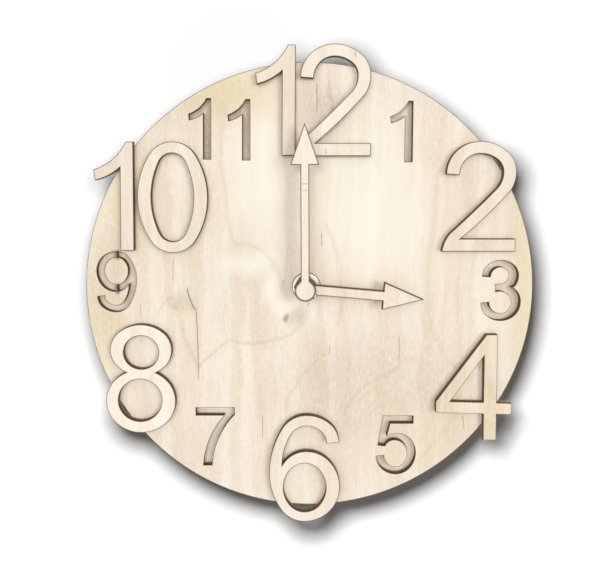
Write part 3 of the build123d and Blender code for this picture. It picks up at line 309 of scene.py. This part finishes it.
# %% One drawn mark
def mark(wood, x, z, points, width):
    """How strong a line through three points is, from 0 to 1, with soft ends and sides."""
    start, middle, end = points
    upright = abs(end[1] - start[1]) > abs(end[0] - start[0])
    along, across = (1, 0) if upright else (0, 1)
    t0, t1, t2 = start[along], middle[along], end[along]
    c0, c1, c2 = start[across], middle[across], end[across]
    first_slope = (c1 - c0) / (t1 - t0)
    bend = ((c2 - c1) / (t2 - t1) - first_slope) / (t2 - t0)
    t, c = (z, x) if upright else (x, z)
    line = c0 + (t - t0) * (first_slope + (t - t1) * bend)
    near = wood.ramp(abs(c - line), width, 0.2 * width)
    low, high = min(t0, t2), max(t0, t2)
    return near * wood.ramp(t, low - 1, low + 1.5) * wood.ramp(t, high + 1, high - 1.5)


def from_point(finish, x, y, centre=(0, 0), radii=(1, 1)):
    """The distance from a centre in a plane, with each direction measured in its own radius."""
    across, up = (x - centre[0]) / radii[0], (y - centre[1]) / radii[1]
    return finish.math("SQRT", across * across + up * up)


print("marks are drawn in millimetres from the hands' axis")

# %% The veneer's colours
CHAR = colour(64, 50, 34)
CHARRED_CORE = colour(100, 76, 52)
SMOKED = colour(132, 102, 72)
TOASTED = colour(180, 152, 122)
# The scorch beside a laser cut, also used for a hub ring that is partly painted shade.
SCORCH_AND_SHADE = colour(92, 68, 46)
HAIR = colour(112, 74, 54)
FLECK = colour(170, 136, 98)
TAN = colour(206, 178, 140)
PINK = colour(238, 219, 204)
CREAM = colour(255, 249, 236)
OLIVE = colour(202, 178, 132)
# A straw tone for the dial's rim: partly the wood's own, partly painted shade, as the rim is darker.
STRAW_AND_RIM_SHADE = colour(232, 214, 172)
SAPWOOD = colour(240, 231, 203)
# The brown of a knot, also used for patches of painted shade on the dial and the backing.
KNOT_AND_SHADE = colour(168, 138, 112)
print("the darkest is char,", [round(value, 3) for value in CHAR[:3]])

# %% [markdown]
# A veneer is laid up in three steps. Nine noises of different stretch give it broad clouds,
# ribbons, fine fibre and flecks, and one of them bends the others, as no tree grows straight.
# Then come its drawn marks, and last what the laser did: a scorch on the face where the cut
# is near, and on the cut itself three plies, darkest where the beam went in.

# %% The wood's own figure
BEND = 9


def veneer_figure(wood, x, y, z, seed, light, warm):
    """The wood's own figure: its colour, and the noises that the other steps use again."""
    drift = wood.noise(wood.vector(x * 0.06 + seed, y * 0.05, z * 0.045))
    wander = (drift - 0.5) * BEND
    xw = x + wander
    cloud = wood.noise(wood.vector(xw * 0.03 + seed, y * 0.1, z * 0.018), 3)
    blush = wood.noise(wood.vector(xw * 0.045, y * 0.1 + seed, z * 0.03))
    sap = wood.noise(wood.vector(xw * 0.05, y * 0.1 - seed, z * 0.022))
    ribbon = wood.noise(wood.vector(xw * 0.13 + seed, y * 0.1, z * 0.006))
    streak = wood.noise(wood.vector(xw * 0.36 + seed, y * 0.4, z * 0.02))
    dash = wood.noise(wood.vector(x * 0.95 + seed, y, z * 0.3), 3, 0.6)
    fibre = wood.noise(wood.vector(xw * 2.8 + seed, y * 2, z * 0.12), 3, 0.6)
    fleck = wood.noise(wood.vector(xw * 1.2 + seed, y, z * 0.17), 1)

    face = wood.mix(wood.ramp(cloud, 0.36, 0.66), light, warm)
    for pattern, low, high, share, tint in (
        (blush, 0.46, 0.7, 0.4, PINK),
        (sap, 0.46, 0.66, 0.4, SAPWOOD),
        (ribbon, 0.5, 0.62, 0.28, CREAM),
        (ribbon, 0.47, 0.34, 0.12, TAN),
        (streak, 0.5, 0.8, 0.18, TAN),
        (dash, 0.48, 0.74, 0.18, TAN),
        (dash, 0.5, 0.26, 0.28, CREAM),
        (fibre, 0.5, 0.8, 0.16, TAN),
        (fleck, 0.75, 0.83, 0.26, FLECK),
    ):
        face = wood.mix(wood.ramp(pattern, low, high) * share, face, tint)
    grain = fibre * 0.7 + streak * 0.3 - wood.ramp(fleck, 0.75, 0.83) * 0.5
    return face, wander, dash, fibre, grain


print("the fibres wander by up to", BEND / 2, "mm")

# %% The veneer finish
def span(node, axis):
    """The lowest and the highest coordinate of a CAD node along an axis, in millimetres."""
    places = [corner.co[axis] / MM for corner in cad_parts[node].data.vertices]
    return min(places), max(places)


def birch(name, sheet, light, warm, seed, lines=(), hairs=(), patches=(), hub_burn_and_shade=None):
    """Birch ply: veneer on its faces and three scorched layers on its cut edges.

    sheet is the CAD node whose thickness the plies share, light and warm are the veneer's two
    tones, and seed moves the pattern. The rest are its own drawn marks; the last is the radius
    and half the width of a dark ring round a hub, partly scorch and partly painted shade, and
    the height where the hand's arm starts.
    """
    wood = Finish(bpy.data.materials.new(name))
    x, y, z = wood.millimetres()
    face, wander, dash, fibre, grain = veneer_figure(wood, x, y, z, seed, light, warm)

    worn = wood.ramp(dash, 0.25, 0.6) * 0.55 + 0.45
    # Soft ovals: the wood's own figure and knots, and on the dial and the backing also patches of
    # painted shade.
    for centre, radii, share, tint in patches:
        away = from_point(wood, x + wander, z + wander * 1.4, centre, radii)
        face = wood.mix(wood.ramp(away, 1, 0.15) * worn * share, face, tint)
    for points, width, share in lines:
        line = mark(wood, x + wander * 0.2, z + wander * 0.2, points, width)
        face = wood.mix(line * worn * share, face, OLIVE)
    for points, width, share in hairs:
        line = mark(wood, x + (dash - 0.5) * 0.8, z, points, width)
        face = wood.mix(line * share, face, HAIR)
    # A dark ring round the lower part of a hub, partly scorch and partly painted shade.
    if hub_burn_and_shade:
        radius, half, top = hub_burn_and_shade
        away = abs(from_point(wood, x, z) - radius)
        burn_and_shade = wood.ramp(away, half, 0.4 * half) * wood.ramp(z, top, top - 1)
        face = wood.mix(burn_and_shade * 0.8, face, SCORCH_AND_SHADE)

    char = wood.add("ShaderNodeAttribute", {"attribute_name": "char"}, {}, "Fac")
    face = wood.mix(wood.ramp(char, 0.05, 0.8) * 0.85, face, SCORCH_AND_SHADE)
    front, back = span(sheet, 1)
    depth_share = (back - y) / (back - front)
    core = wood.ramp(abs(depth_share - 0.5), 0.3, 0.22)
    soot = wood.noise(wood.vector(x * 1.4 + seed, y * 0.25, z * 1.4))
    edge = wood.mix(core * 0.5, CHAR, CHARRED_CORE)
    edge = wood.mix(wood.ramp(soot, 0.5, 0.78) * 0.45, edge, SMOKED)
    edge = wood.mix(wood.ramp(depth_share, 0.62, 0.08) * 0.7, edge, TOASTED)
    cut = wood.ramp(char, 0.985, 0.998)
    shown = wood.mix(cut, face, edge)
    rough = cut * 0.22 + 0.58 + fibre * 0.08
    height = grain + soot * cut
    return wood.surface(Base_Color=shown, Roughness=rough, Normal=wood.bump(height, 0.05, 0.5))


print("the dial's face and back are at", [round(level, 2) for level in span("dial_disc", 1)], "mm")

# %% [markdown]
# ## From a solid to a laser-cut piece
# Each wooden piece is a flat sheet with upright walls, and its solid has that shape already.
# A laser leaves two things that the solid lacks: a slightly rounded arris and a narrow brown
# band on the face beside the cut. So a copy of the solid's mesh gets a fine bevel where face
# and wall meet, and then an inset in its faces. The inset's outer edge is marked with an
# attribute of 1 that falls to 0 at its inner edge, and the finish reads that as scorch.

# %% Helpers for pieces
SMOOTH_BELOW = math.radians(32)


def is_face(polygon):
    """True for a polygon of the sheet's front or back, not of a cut edge."""
    return abs(polygon.normal.y) > 0.99


def never(polygon):
    """Picks no polygon, for a piece that is smooth all over."""
    return False


def solid_copy(node):
    """The mesh of a CAD node, with its doubles merged and its flat parts joined."""
    shape = bmesh.new()
    shape.from_mesh(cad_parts[node].data)
    bmesh.ops.remove_doubles(shape, verts=shape.verts, dist=0.001 * MM)
    bmesh.ops.dissolve_limit(
        shape, angle_limit=math.radians(0.5), verts=shape.verts, edges=shape.edges
    )
    return shape


def round_edges(shape, edges, width):
    """Gives the edges of a shape a fine bevel."""
    bmesh.ops.bevel(
        shape, geom=edges, offset=width, offset_type="OFFSET", segments=2, profile=0.5,
        affect="EDGES", material=-1, clamp_overlap=True,
    )


def finished_piece(name, shape, flat, body, material, node):
    """Shades the piece smooth but for its flat polygons, and puts it in its CAD node's place."""
    for polygon in shape.faces:
        polygon.smooth = not flat(polygon)
    for edge in shape.edges:
        edge.smooth = len(edge.link_faces) == 2 and edge.calc_face_angle(0) < SMOOTH_BELOW
    data = bpy.data.meshes.new(name)
    shape.to_mesh(data)
    shape.free()
    data.materials.append(material)
    thing = bpy.data.objects.new(name, data)
    bpy.context.scene.collection.objects.link(thing)
    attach(thing, body)
    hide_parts(node)


print("edges that turn less than", round(math.degrees(SMOOTH_BELOW)), "degrees are shaded smooth")

# %% Laser-cut sheet
ARRIS = 0.18 * MM
DIAL_SCORCH = 0.36 * MM
NUMERAL_SCORCH = 0.42 * MM
HAND_SCORCH = 0.6 * MM


def laser_cut(name, node, body, material, scorch):
    """A wooden piece from its solid, with rounded arrises and bands of scorch beside its cuts."""
    shape = solid_copy(node)
    rims = [edge for edge in shape.edges if sum(map(is_face, edge.link_faces)) == 1]
    round_edges(shape, rims, ARRIS)
    faces = [polygon for polygon in shape.faces if is_face(polygon)]
    bmesh.ops.inset_region(
        shape, faces=faces, thickness=scorch, depth=0, use_even_offset=True, use_boundary=True
    )
    char = shape.verts.layers.float.new("char")
    for corner in shape.verts:
        corner[char] = 0.0 if all(is_face(polygon) for polygon in corner.link_faces) else 1.0
    print(name, len(shape.faces), "faces")
    finished_piece(name, shape, is_face, body, material, node)


# %% [markdown]
# ## The dial
# The dial's veneer carries the marks that one sees first: a dark crack at the left, the
# growth ring that runs from it under the hands, a knot below the hands with cream patches
# round it, and a second ring down the right. Patches of straw colour warm its rim and darken
# it, partly the wood's own tone and partly painted shade, and broad brown patches are painted
# shade on its lower half, near its left and upper left rim and round the twelve. The two
# bridges that hold the middle of the nine are burned dark all over. The rest is left to the
# noise.

# %% The dial's own marks
NINE_BRIDGES_X = -105.0

# Growth lines and hairlines: three points, the width, and how strong they are.
ring_lines = [
    (((-83.0, -17.0), (-79.0, -9.0), (-72.0, -9.5)), 2.2, 0.24),
    (((-72.0, -9.5), (-67.3, -29.3), (-60.0, -46.0)), 2.4, 0.34),
    (((-60.5, -46.5), (-52.5, -38.5), (-42.9, -30.6)), 1.9, 0.38),
    (((-42.9, -30.6), (-31.7, -32.4), (-17.5, -30.4)), 1.7, 0.34),
    (((-17.5, -30.4), (-6.4, -25.8), (1.0, -18.0)), 2.0, 0.26),
    (((-43.2, 101.7), (-46.2, 79.8), (-43.6, 48.4)), 2.0, 0.24),
    (((-43.6, 48.4), (-42.6, 34.6), (-39.3, 23.4)), 2.0, 0.26),
    (((-39.3, 23.4), (-31.7, 23.6), (-22.5, 19.0)), 1.8, 0.26),
    (((-22.5, 19.0), (-16.5, 11.0), (-13.5, -2.0)), 2.0, 0.18),
    (((77.0, 98.0), (73.0, 56.0), (69.8, 15.0)), 2.6, 0.2),
    (((69.8, 15.0), (69.2, -11.6), (75.1, -32.4)), 2.6, 0.2),
    (((75.1, -32.4), (79.9, -40.1), (85.6, -46.8)), 2.2, 0.2),
    (((13.2, -38.2), (2.8, -45.8), (-4.7, -56.4)), 1.8, 0.3),
    (((-4.7, -56.4), (-9.4, -63.1), (-10.4, -72.7)), 1.8, 0.26),
    (((58.3, -40.1), (49.9, -47.7), (38.6, -53.5)), 2.0, 0.3),
    (((38.6, -53.5), (29.3, -61.2), (22.7, -74.7)), 2.0, 0.3),
    (((11.0, 36.0), (17.5, 20.0), (19.4, 2.0)), 2.2, 0.2),
    (((19.4, 2.0), (20.6, -9.0), (18.5, -22.0)), 2.2, 0.24),
    (((65.5, -99.9), (77.7, -84.3), (86.0, -72.7)), 2.2, 0.2),
]
dial_hairs = [
    (((-66.0, -0.8), (-64.0, -8.7), (-61.2, -13.9)), 0.65, 0.75),
    (((-61.2, -13.9), (-60.4, -30.6), (-60.2, -53.0)), 0.5, 0.6),
    (((-24.0, -74.7), (-24.1, -80.4), (-24.0, -87.3)), 0.4, 0.5),
    (((6.4, 113.0), (6.5, 105), (6.4, 97.0)), 0.45, 0.5),
    (((9.0, 30.0), (9.2, 26), (9.2, 22.7)), 0.4, 0.5),
    (((52.9, -27.7), (53.1, -34.4), (53.0, -42.0)), 0.4, 0.45),
    (((13.7, -33.4), (13.8, -36.4), (13.7, -39.1)), 0.4, 0.45),
    (((89.4, -73.7), (89.9, -78.4), (90.3, -82.4)), 0.45, 0.5),
    (((-73.4, 17.3), (-73.9, 10), (-74.1, 2.9)), 0.45, 0.42),
    (((-92.4, -10.4), (-92.4, -14), (-92.3, -17.6)), 0.4, 0.4),
    (((NINE_BRIDGES_X, 15), (NINE_BRIDGES_X, 18), (NINE_BRIDGES_X, 20.5)), 2.0, 0.85),
    (((NINE_BRIDGES_X, -4.5), (NINE_BRIDGES_X, -1), (NINE_BRIDGES_X, 1.5)), 2.0, 0.85),
]

# Soft ovals: the middle, the two radii, how strong they are and their colour.
patches = [
    ((-28, 62), (22, 62), 0.6, CREAM),
    ((34, 46), (44, 60), 0.6, CREAM),
    ((2, -14), (7, 10), 0.6, CREAM),
    ((-38, 14), (15, 10), 0.55, CREAM),
    ((-25, 14), (12, 11), 0.6, CREAM),
    ((-18, -2), (8, 15), 0.8, CREAM),
    ((-12, -12), (9, 7), 0.6, CREAM),
    ((62, 16), (24, 60), 0.3, CREAM),
    ((-9.2, -16.0), (2.2, 2.6), 0.9, KNOT_AND_SHADE),
    ((-4, -17), (9, 7), 0.3, KNOT_AND_SHADE),
    ((-11, 4), (1.8, 1.8), 0.4, KNOT_AND_SHADE),
    ((0.5, -12), (1.2, 2.4), 0.4, KNOT_AND_SHADE),
    # The straw patches and the brown ones at (-110, 0), (12, 96), (44, -56) and (-60, 104) are painted
    # shade, the straw partly the wood's own tone: the dial is darker towards its rim and its lower
    # half, and round the twelve.
    ((-114, -20), (26, 64), 0.6, STRAW_AND_RIM_SHADE),
    ((-100, 44), (30, 60), 0.45, STRAW_AND_RIM_SHADE),
    ((62, -84), (40, 34), 0.3, STRAW_AND_RIM_SHADE),
    ((-42, 110), (50, 26), 0.75, STRAW_AND_RIM_SHADE),
    ((-110, 0), (20, 60), 0.2, KNOT_AND_SHADE),
    ((126, 4), (26, 72), 0.75, STRAW_AND_RIM_SHADE),
    ((13, 100), (2.6, 20), 0.6, TAN),
    ((12, 96), (22, 26), 0.3, KNOT_AND_SHADE),
    ((-70, -10), (14, 10), 0.3, KNOT_AND_SHADE),
    ((44, -56), (90, 44), 0.22, KNOT_AND_SHADE),
    ((-60, 104), (40, 30), 0.16, KNOT_AND_SHADE),
]
print(len(ring_lines), "growth lines,", len(dial_hairs), "hairlines,", len(patches), "patches")

# %% Cut the dial and the backing disc
dial_finish = birch(
    "dial_veneer", "dial_disc", colour(241, 228, 210), colour(233, 218, 198), seed=3.1,
    lines=ring_lines, hairs=dial_hairs, patches=patches,
)
# A brown patch at the upper left is painted shade: the floors of the eleven's slots are darker there.
backing_painted_shade = [((-50, 85), (60, 50), 0.45, KNOT_AND_SHADE)]
backing_finish = birch(
    "backing_veneer", "backing_disc", colour(236, 223, 204), colour(223, 208, 188), seed=17.7,
    patches=backing_painted_shade,
)
laser_cut("dial", "dial_disc", "clock", dial_finish, DIAL_SCORCH)
laser_cut("backing", "backing_disc", "clock", backing_finish, DIAL_SCORCH)

# %% [markdown]
# ## Numerals and hands
# Every numeral comes from another corner of the sheet, so each gets its own seed and its own
# pair of tones: the eight is almost white, the four is the most yellow. They are cut like the
# dial. The minute hand has two thin cracks across its stem and a dark ring round the lower part
# of its hub, partly scorch and partly painted shade where the hour hand's hub lies beneath.

# %% Cut the numerals
numeral_tones = {
    "numeral_twelve_one": ((236, 220, 200), (224, 206, 182)),
    "numeral_twelve_two": ((242, 232, 216), (234, 221, 202)),
    "numeral_two": ((240, 228, 211), (233, 218, 198)),
    "numeral_four": ((233, 216, 189), (222, 203, 173)),
    "numeral_six": ((242, 230, 213), (235, 220, 201)),
    "numeral_eight": ((250, 241, 226), (245, 234, 217)),
    "numeral_ten_one": ((236, 223, 206), (228, 212, 190)),
    "numeral_ten_nought": ((239, 228, 210), (232, 217, 197)),
}
numeral_hairs = {
    "numeral_twelve_two": [
        (((27.2, 129), (27.4, 127), (27.4, 125.5)), 0.5, 0.6),
        (((11.2, 77.4), (11.4, 75.4), (11.4, 73.4)), 0.4, 0.35),
    ],
}
FIRST_SEED, SEED_STEP = 31, 7.3
for index, (node, (light, warm)) in enumerate(numeral_tones.items()):
    finish = birch(
        node.replace("numeral", "veneer"), node, colour(*light), colour(*warm),
        seed=FIRST_SEED + SEED_STEP * index, hairs=numeral_hairs.get(node, ()),
    )
    laser_cut(
        node.replace("numeral", "cut"), node, "clock", finish, NUMERAL_SCORCH
    )

# %% Cut the hands
stem_cracks = [
    (((-1.9, 57.8), (0.2, 57.6), (2.1, 57.9)), 0.3, 0.6),
    (((-1.9, 54.1), (0.1, 54.3), (1.2, 54.0)), 0.25, 0.5),
]
# The dark ring round the minute hand's hub is partly scorch and partly painted shade where the hour
# hand's hub lies beneath.
HUB_RADIUS, RING_HALF_WIDTH, ARM_FROM = 5.4, 0.85, 4.8
minute_finish = birch(
    "minute_veneer", "minute_hand", colour(243, 233, 216), colour(238, 226, 208), seed=91.3,
    hairs=stem_cracks, hub_burn_and_shade=(HUB_RADIUS, RING_HALF_WIDTH, ARM_FROM),
)
hour_finish = birch(
    "hour_veneer", "hour_hand", colour(241, 227, 208), colour(235, 219, 199), seed=77.9
)
laser_cut("minute_arrow", "minute_hand", "minute", minute_finish, HAND_SCORCH)
laser_cut("hour_arrow", "hour_hand", "hour", hour_finish, HAND_SCORCH)

# %% [markdown]
# ## Metal
# The washer is bright turned steel whose inner and outer edges are darkened as painted shade,
# the nut a dark bronze, partly patina and partly painted shade, and the threaded sleeve in them
# brass. Bare metal is all reflection, so little of its colour varies, and what tells one metal
# from another is how rough it is.

# %% Metal finishes
# A dark tone for the washer's edges: painted shade.
WASHER_EDGE_SHADE = colour(104, 88, 66)
WASHER_X, RING_RADIUS, BRIGHT_HALF_WIDTH = 0.75, 6.5, 1.05
SLEEVE_PITCH = 0.75


def metal(name, tint, roughness, thread_pitch=0.0, depth=0.03, bright_ring=None):
    """Metal with fine scratches, a thread where a pitch is given, and a washer's dark edges.

    bright_ring is the washer's middle line: its centre's x, its radius and half its width.
    Beyond it the washer is darkened towards its edges: painted shade.
    """
    finish = Finish(bpy.data.materials.new(name))
    x, y, z = finish.millimetres()
    scratch = finish.noise(finish.vector(x * 2.2, y * 2.2, z * 2.2), 4, 0.65)
    height = scratch * 0.25
    if thread_pitch:
        turn = finish.math("ARCTAN2", z, x)
        height = height + finish.math("SINE", y * (2 * math.pi / thread_pitch) + turn) * 2.0
    dull = tuple(value * 0.62 for value in tint[:3]) + (1.0,)
    shown = finish.mix(finish.ramp(scratch, 0.55, 0.8) * 0.5, tint, dull)
    # The washer darkens beyond its middle line: painted shade at its edges.
    if bright_ring:
        centre, middle, half = bright_ring
        away = abs(from_point(finish, x, z, (centre, 0)) - middle)
        shown = finish.mix(finish.ramp(away, half - 0.1, half + 0.15), shown, WASHER_EDGE_SHADE)
    rough = scratch * 0.12 + roughness
    return finish.surface(
        Base_Color=shown, Metallic=1.0, Roughness=rough, Normal=finish.bump(height, depth, 0.5)
    )


washer_steel = metal(
    "turned_steel", colour(242, 236, 222), 0.34, depth=0.006,
    bright_ring=(WASHER_X, RING_RADIUS, BRIGHT_HALF_WIDTH),
)
# The nut's dark colour is partly patina and partly painted shade.
nut_patina_and_shade = metal("dark_bronze_and_shade", colour(112, 98, 66), 0.4)
thread_brass = metal("threaded_brass", colour(206, 172, 104), 0.26, thread_pitch=SLEEVE_PITCH)
pin_steel = metal("pin_steel", colour(196, 196, 194), 0.24)
spring_nickel = metal("spring_nickel", colour(214, 210, 198), 0.25)
core_iron = metal("core_iron", colour(132, 130, 128), 0.46)
magnet_grey = metal("magnet_grey", colour(70, 70, 74), 0.5)
copper_wire = metal("copper_wire", colour(196, 112, 70), 0.34)
print("metal finishes:", washer_steel.name, "to", copper_wire.name)

# %% [markdown]
# ## Moulded plastic
# The movement's case is charcoal plastic from a mould with a spark-eroded grain, which
# scatters light like very fine sand. The wheels are a milky engineering plastic. One finish
# serves for both, and for rubber and resin, with its tint and the size of its grain changed.

# %% Plastic finishes
MOULDED_MARK = colour(14, 14, 15)
PLUS_AT, MINUS_AT = (23, -8.6), (-23, -8.6)
HALF_BAR, HALF_STROKE = 1.3, 0.25


def plastic(name, tint, roughness, grain=5.0, depth=0.02, marks=()):
    """Moulded plastic with a fine grain; marks are dark bars in its back, for plus and minus."""
    finish = Finish(bpy.data.materials.new(name))
    x, y, z = finish.millimetres()
    sand = finish.noise(finish.vector(x * grain, y * grain, z * grain), 3, 0.6)
    flow = finish.noise(finish.vector(x * 0.12, y * 0.12, z * 0.12))
    paler = tuple(min(1.0, value * 1.25 + 0.004) for value in tint[:3]) + (1.0,)
    shown = finish.mix(finish.ramp(flow, 0.35, 0.7) * 0.6, tint, paler)
    height = sand
    for centre, half_width, half_height in marks:
        inside = finish.ramp(abs(x - centre[0]), half_width + 0.08, half_width - 0.04)
        inside = inside * finish.ramp(abs(z - centre[1]), half_height + 0.08, half_height - 0.04)
        inside = inside * finish.ramp(y, -0.2, -0.1)
        shown = finish.mix(inside * 0.7, shown, MOULDED_MARK)
        height = height - inside * 12
    rough = roughness + sand * 0.1
    return finish.surface(
        Base_Color=shown, Roughness=rough, Normal=finish.bump(height, depth, 0.6)
    )


plus_and_minus = [
    (PLUS_AT, HALF_BAR, HALF_STROKE),
    (PLUS_AT, HALF_STROKE, HALF_BAR),
    (MINUS_AT, HALF_BAR, HALF_STROKE),
]
case_charcoal = plastic("case_charcoal", colour(52, 52, 54), 0.5, marks=plus_and_minus)
hanger_charcoal = plastic("hanger_charcoal", colour(48, 48, 50), 0.5)
knob_charcoal = plastic("knob_charcoal", colour(66, 66, 68), 0.44)
wheel_white = plastic("wheel_white", colour(226, 224, 214), 0.36, 3.0, 0.008)
plate_grey = plastic("plate_grey", colour(92, 94, 96), 0.42, 3.0, 0.012)
gasket_rubber = plastic("gasket_rubber", colour(34, 34, 36), 0.72, 2.4, 0.03)
board_resin = plastic("board_laminate", colour(150, 118, 62), 0.5, 6.0, 0.015)
chip_resin = plastic("chip_resin", colour(22, 22, 24), 0.2, 1.2, 0.01)
print("plastic finishes:", case_charcoal.name, "to", chip_resin.name)

# %% [markdown]
# ## The case and the hanger
# The two shells meet in a line around the case, and their edges are slightly rounded by the
# mould. The CAD shells meet in sharp edges, so copies of them get a small bevel on their
# outer edges, and the line between them shows as a fine groove. The hanger is slim enough to
# stay as it is.

# %% Soften the moulded edges
MOULD_ROUNDING = 0.25 * MM
SIDE_DEPTH = 3.1 * MM
LEVEL_WITHIN = 0.01 * MM
SHARP_ABOVE = math.radians(60)
PARTING_LINE_Y = -6.0


def moulded(name, node, ends):
    """A plastic shell, its outer edges rounded at both ends, which are in millimetres along y."""
    shape = solid_copy(node)
    limits = [
        max(abs(corner.co[axis]) for corner in shape.verts) - SIDE_DEPTH for axis in (0, 2)
    ]

    def outer(edge):
        """True for a sharp edge that lies at one of the ends and runs along the case's sides."""
        if len(edge.link_faces) != 2 or edge.calc_face_angle(0) <= SHARP_ABOVE:
            return False
        beside = all(
            abs(corner.co.x) > limits[0] or abs(corner.co.z) > limits[1] for corner in edge.verts
        )
        return beside and any(
            all(abs(corner.co.y - end * MM) < LEVEL_WITHIN for corner in edge.verts)
            for end in ends
        )

    edges = list(filter(outer, shape.edges))
    round_edges(shape, edges, MOULD_ROUNDING)
    print(name, "rounds", len(edges), "edges")
    finished_piece(name, shape, never, "clock", case_charcoal, node)


moulded("front_shell", "front_case", (PARTING_LINE_Y, span("front_case", 1)[0]))
moulded("back_shell", "back_case", (span("back_case", 1)[1], PARTING_LINE_Y))

# %% [markdown]
# ## The cell
# A round cell has a printed plastic sleeve and two bare steel ends. It is left without words
# here: a dark band marks its plus end, as on any make. The sleeve covers only the outside, so
# the finish tells it from the ends by the distance from the cell's own axis.

# %% Cell finish
JACKET_GREY = colour(150, 156, 160)
JACKET_PALE = colour(210, 214, 216)
JACKET_BAND = colour(40, 44, 52)
CELL_STEEL = colour(206, 204, 198)
SLEEVE_FROM = 6.95
BAND_FROM = 12.9
BORDER = 0.1

jacket = Finish(bpy.data.materials.new("cell_jacket"))
x, y, z = jacket.millimetres()
cell_axis = [sum(span("battery", axis)) / 2 for axis in (1, 2)]
sleeve = jacket.ramp(from_point(jacket, y, z, cell_axis), SLEEVE_FROM, SLEEVE_FROM + BORDER)
band = jacket.ramp(x, BAND_FROM, BAND_FROM + BORDER)
print_shade = jacket.noise(jacket.vector(x * 0.2, y * 0.2, z * 0.2))
wrap = jacket.mix(band, JACKET_GREY, JACKET_BAND)
wrap = jacket.mix(print_shade * 0.12, wrap, JACKET_PALE)
shown = jacket.mix(sleeve, CELL_STEEL, wrap)
scuff = jacket.noise(jacket.vector(x * 1.5, y * 3, z * 3), 3)
cell_finish = jacket.surface(
    Base_Color=shown, Metallic=1 - sleeve * 0.75, Roughness=scuff * 0.16 + 0.24,
    Normal=jacket.bump(scuff, 0.015, 0.4),
)
print("the cell's axis is at", [round(place, 2) for place in cell_axis], "mm")

# %% [markdown]
# ## Finishes for the solids that stay
# The remaining solids have the right shape as they are. Most of them lie inside the case.
# They keep their meshes and only take a finish.

# %% Hand out the finishes
kept = {
    washer_steel: ["dial_washer"],
    nut_patina_and_shade: ["hex_nut"],
    thread_brass: ["threaded_bushing", "hour_hand_bush", "minute_hand_bush"],
    pin_steel: ["plate_screws", "seconds_arbor"],
    spring_nickel: ["contact_positive", "contact_negative", "quartz_crystal"],
    core_iron: ["stator", "coil_core"],
    magnet_grey: ["rotor_magnet"],
    copper_wire: ["coil_winding"],
    hanger_charcoal: ["hanger"],
    knob_charcoal: ["setting_knob"],
    wheel_white: [
        "hour_wheel", "minute_arbor", "centre_wheel", "third_wheel", "seconds_wheel",
        "intermediate_wheel", "rotor_pinion", "minute_wheel", "setting_arbor",
    ],
    plate_grey: ["train_plate", "rear_plate"],
    case_charcoal: ["coil_bobbin"],
    gasket_rubber: ["rubber_washer"],
    board_resin: ["circuit_board"],
    chip_resin: ["driver_chip"],
    cell_finish: ["battery"],
}
for finish, nodes in kept.items():
    for node in nodes:
        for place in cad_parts[node].material_slots:
            place.material = finish
print(sum(map(len, kept.values())), "solids keep their own mesh")

# %% [markdown]
# ## Which lamp lights what
# Light linking gives each lamp a list of what it lights. The wall's lamp lights only the
# wall, and the clock's four lamps everything else, so each shadow falls its own way.

# %% Link the lamps
def lights_only(lamp, things):
    """Lets a lamp light these objects and no others."""
    listed = bpy.data.collections.new(f"{lamp.name}_lights")
    for thing in things:
        listed.objects.link(thing)
    lamp.light_linking.receiver_collection = listed


clock_things = [thing for thing in bpy.data.objects if thing.type == "MESH" and thing is not wall]
lights_only(wall_lamp, [wall])
for lamp in clock_lamps:
    lights_only(lamp, clock_things)
print(len(clock_things), "pieces take the clock's lamps")
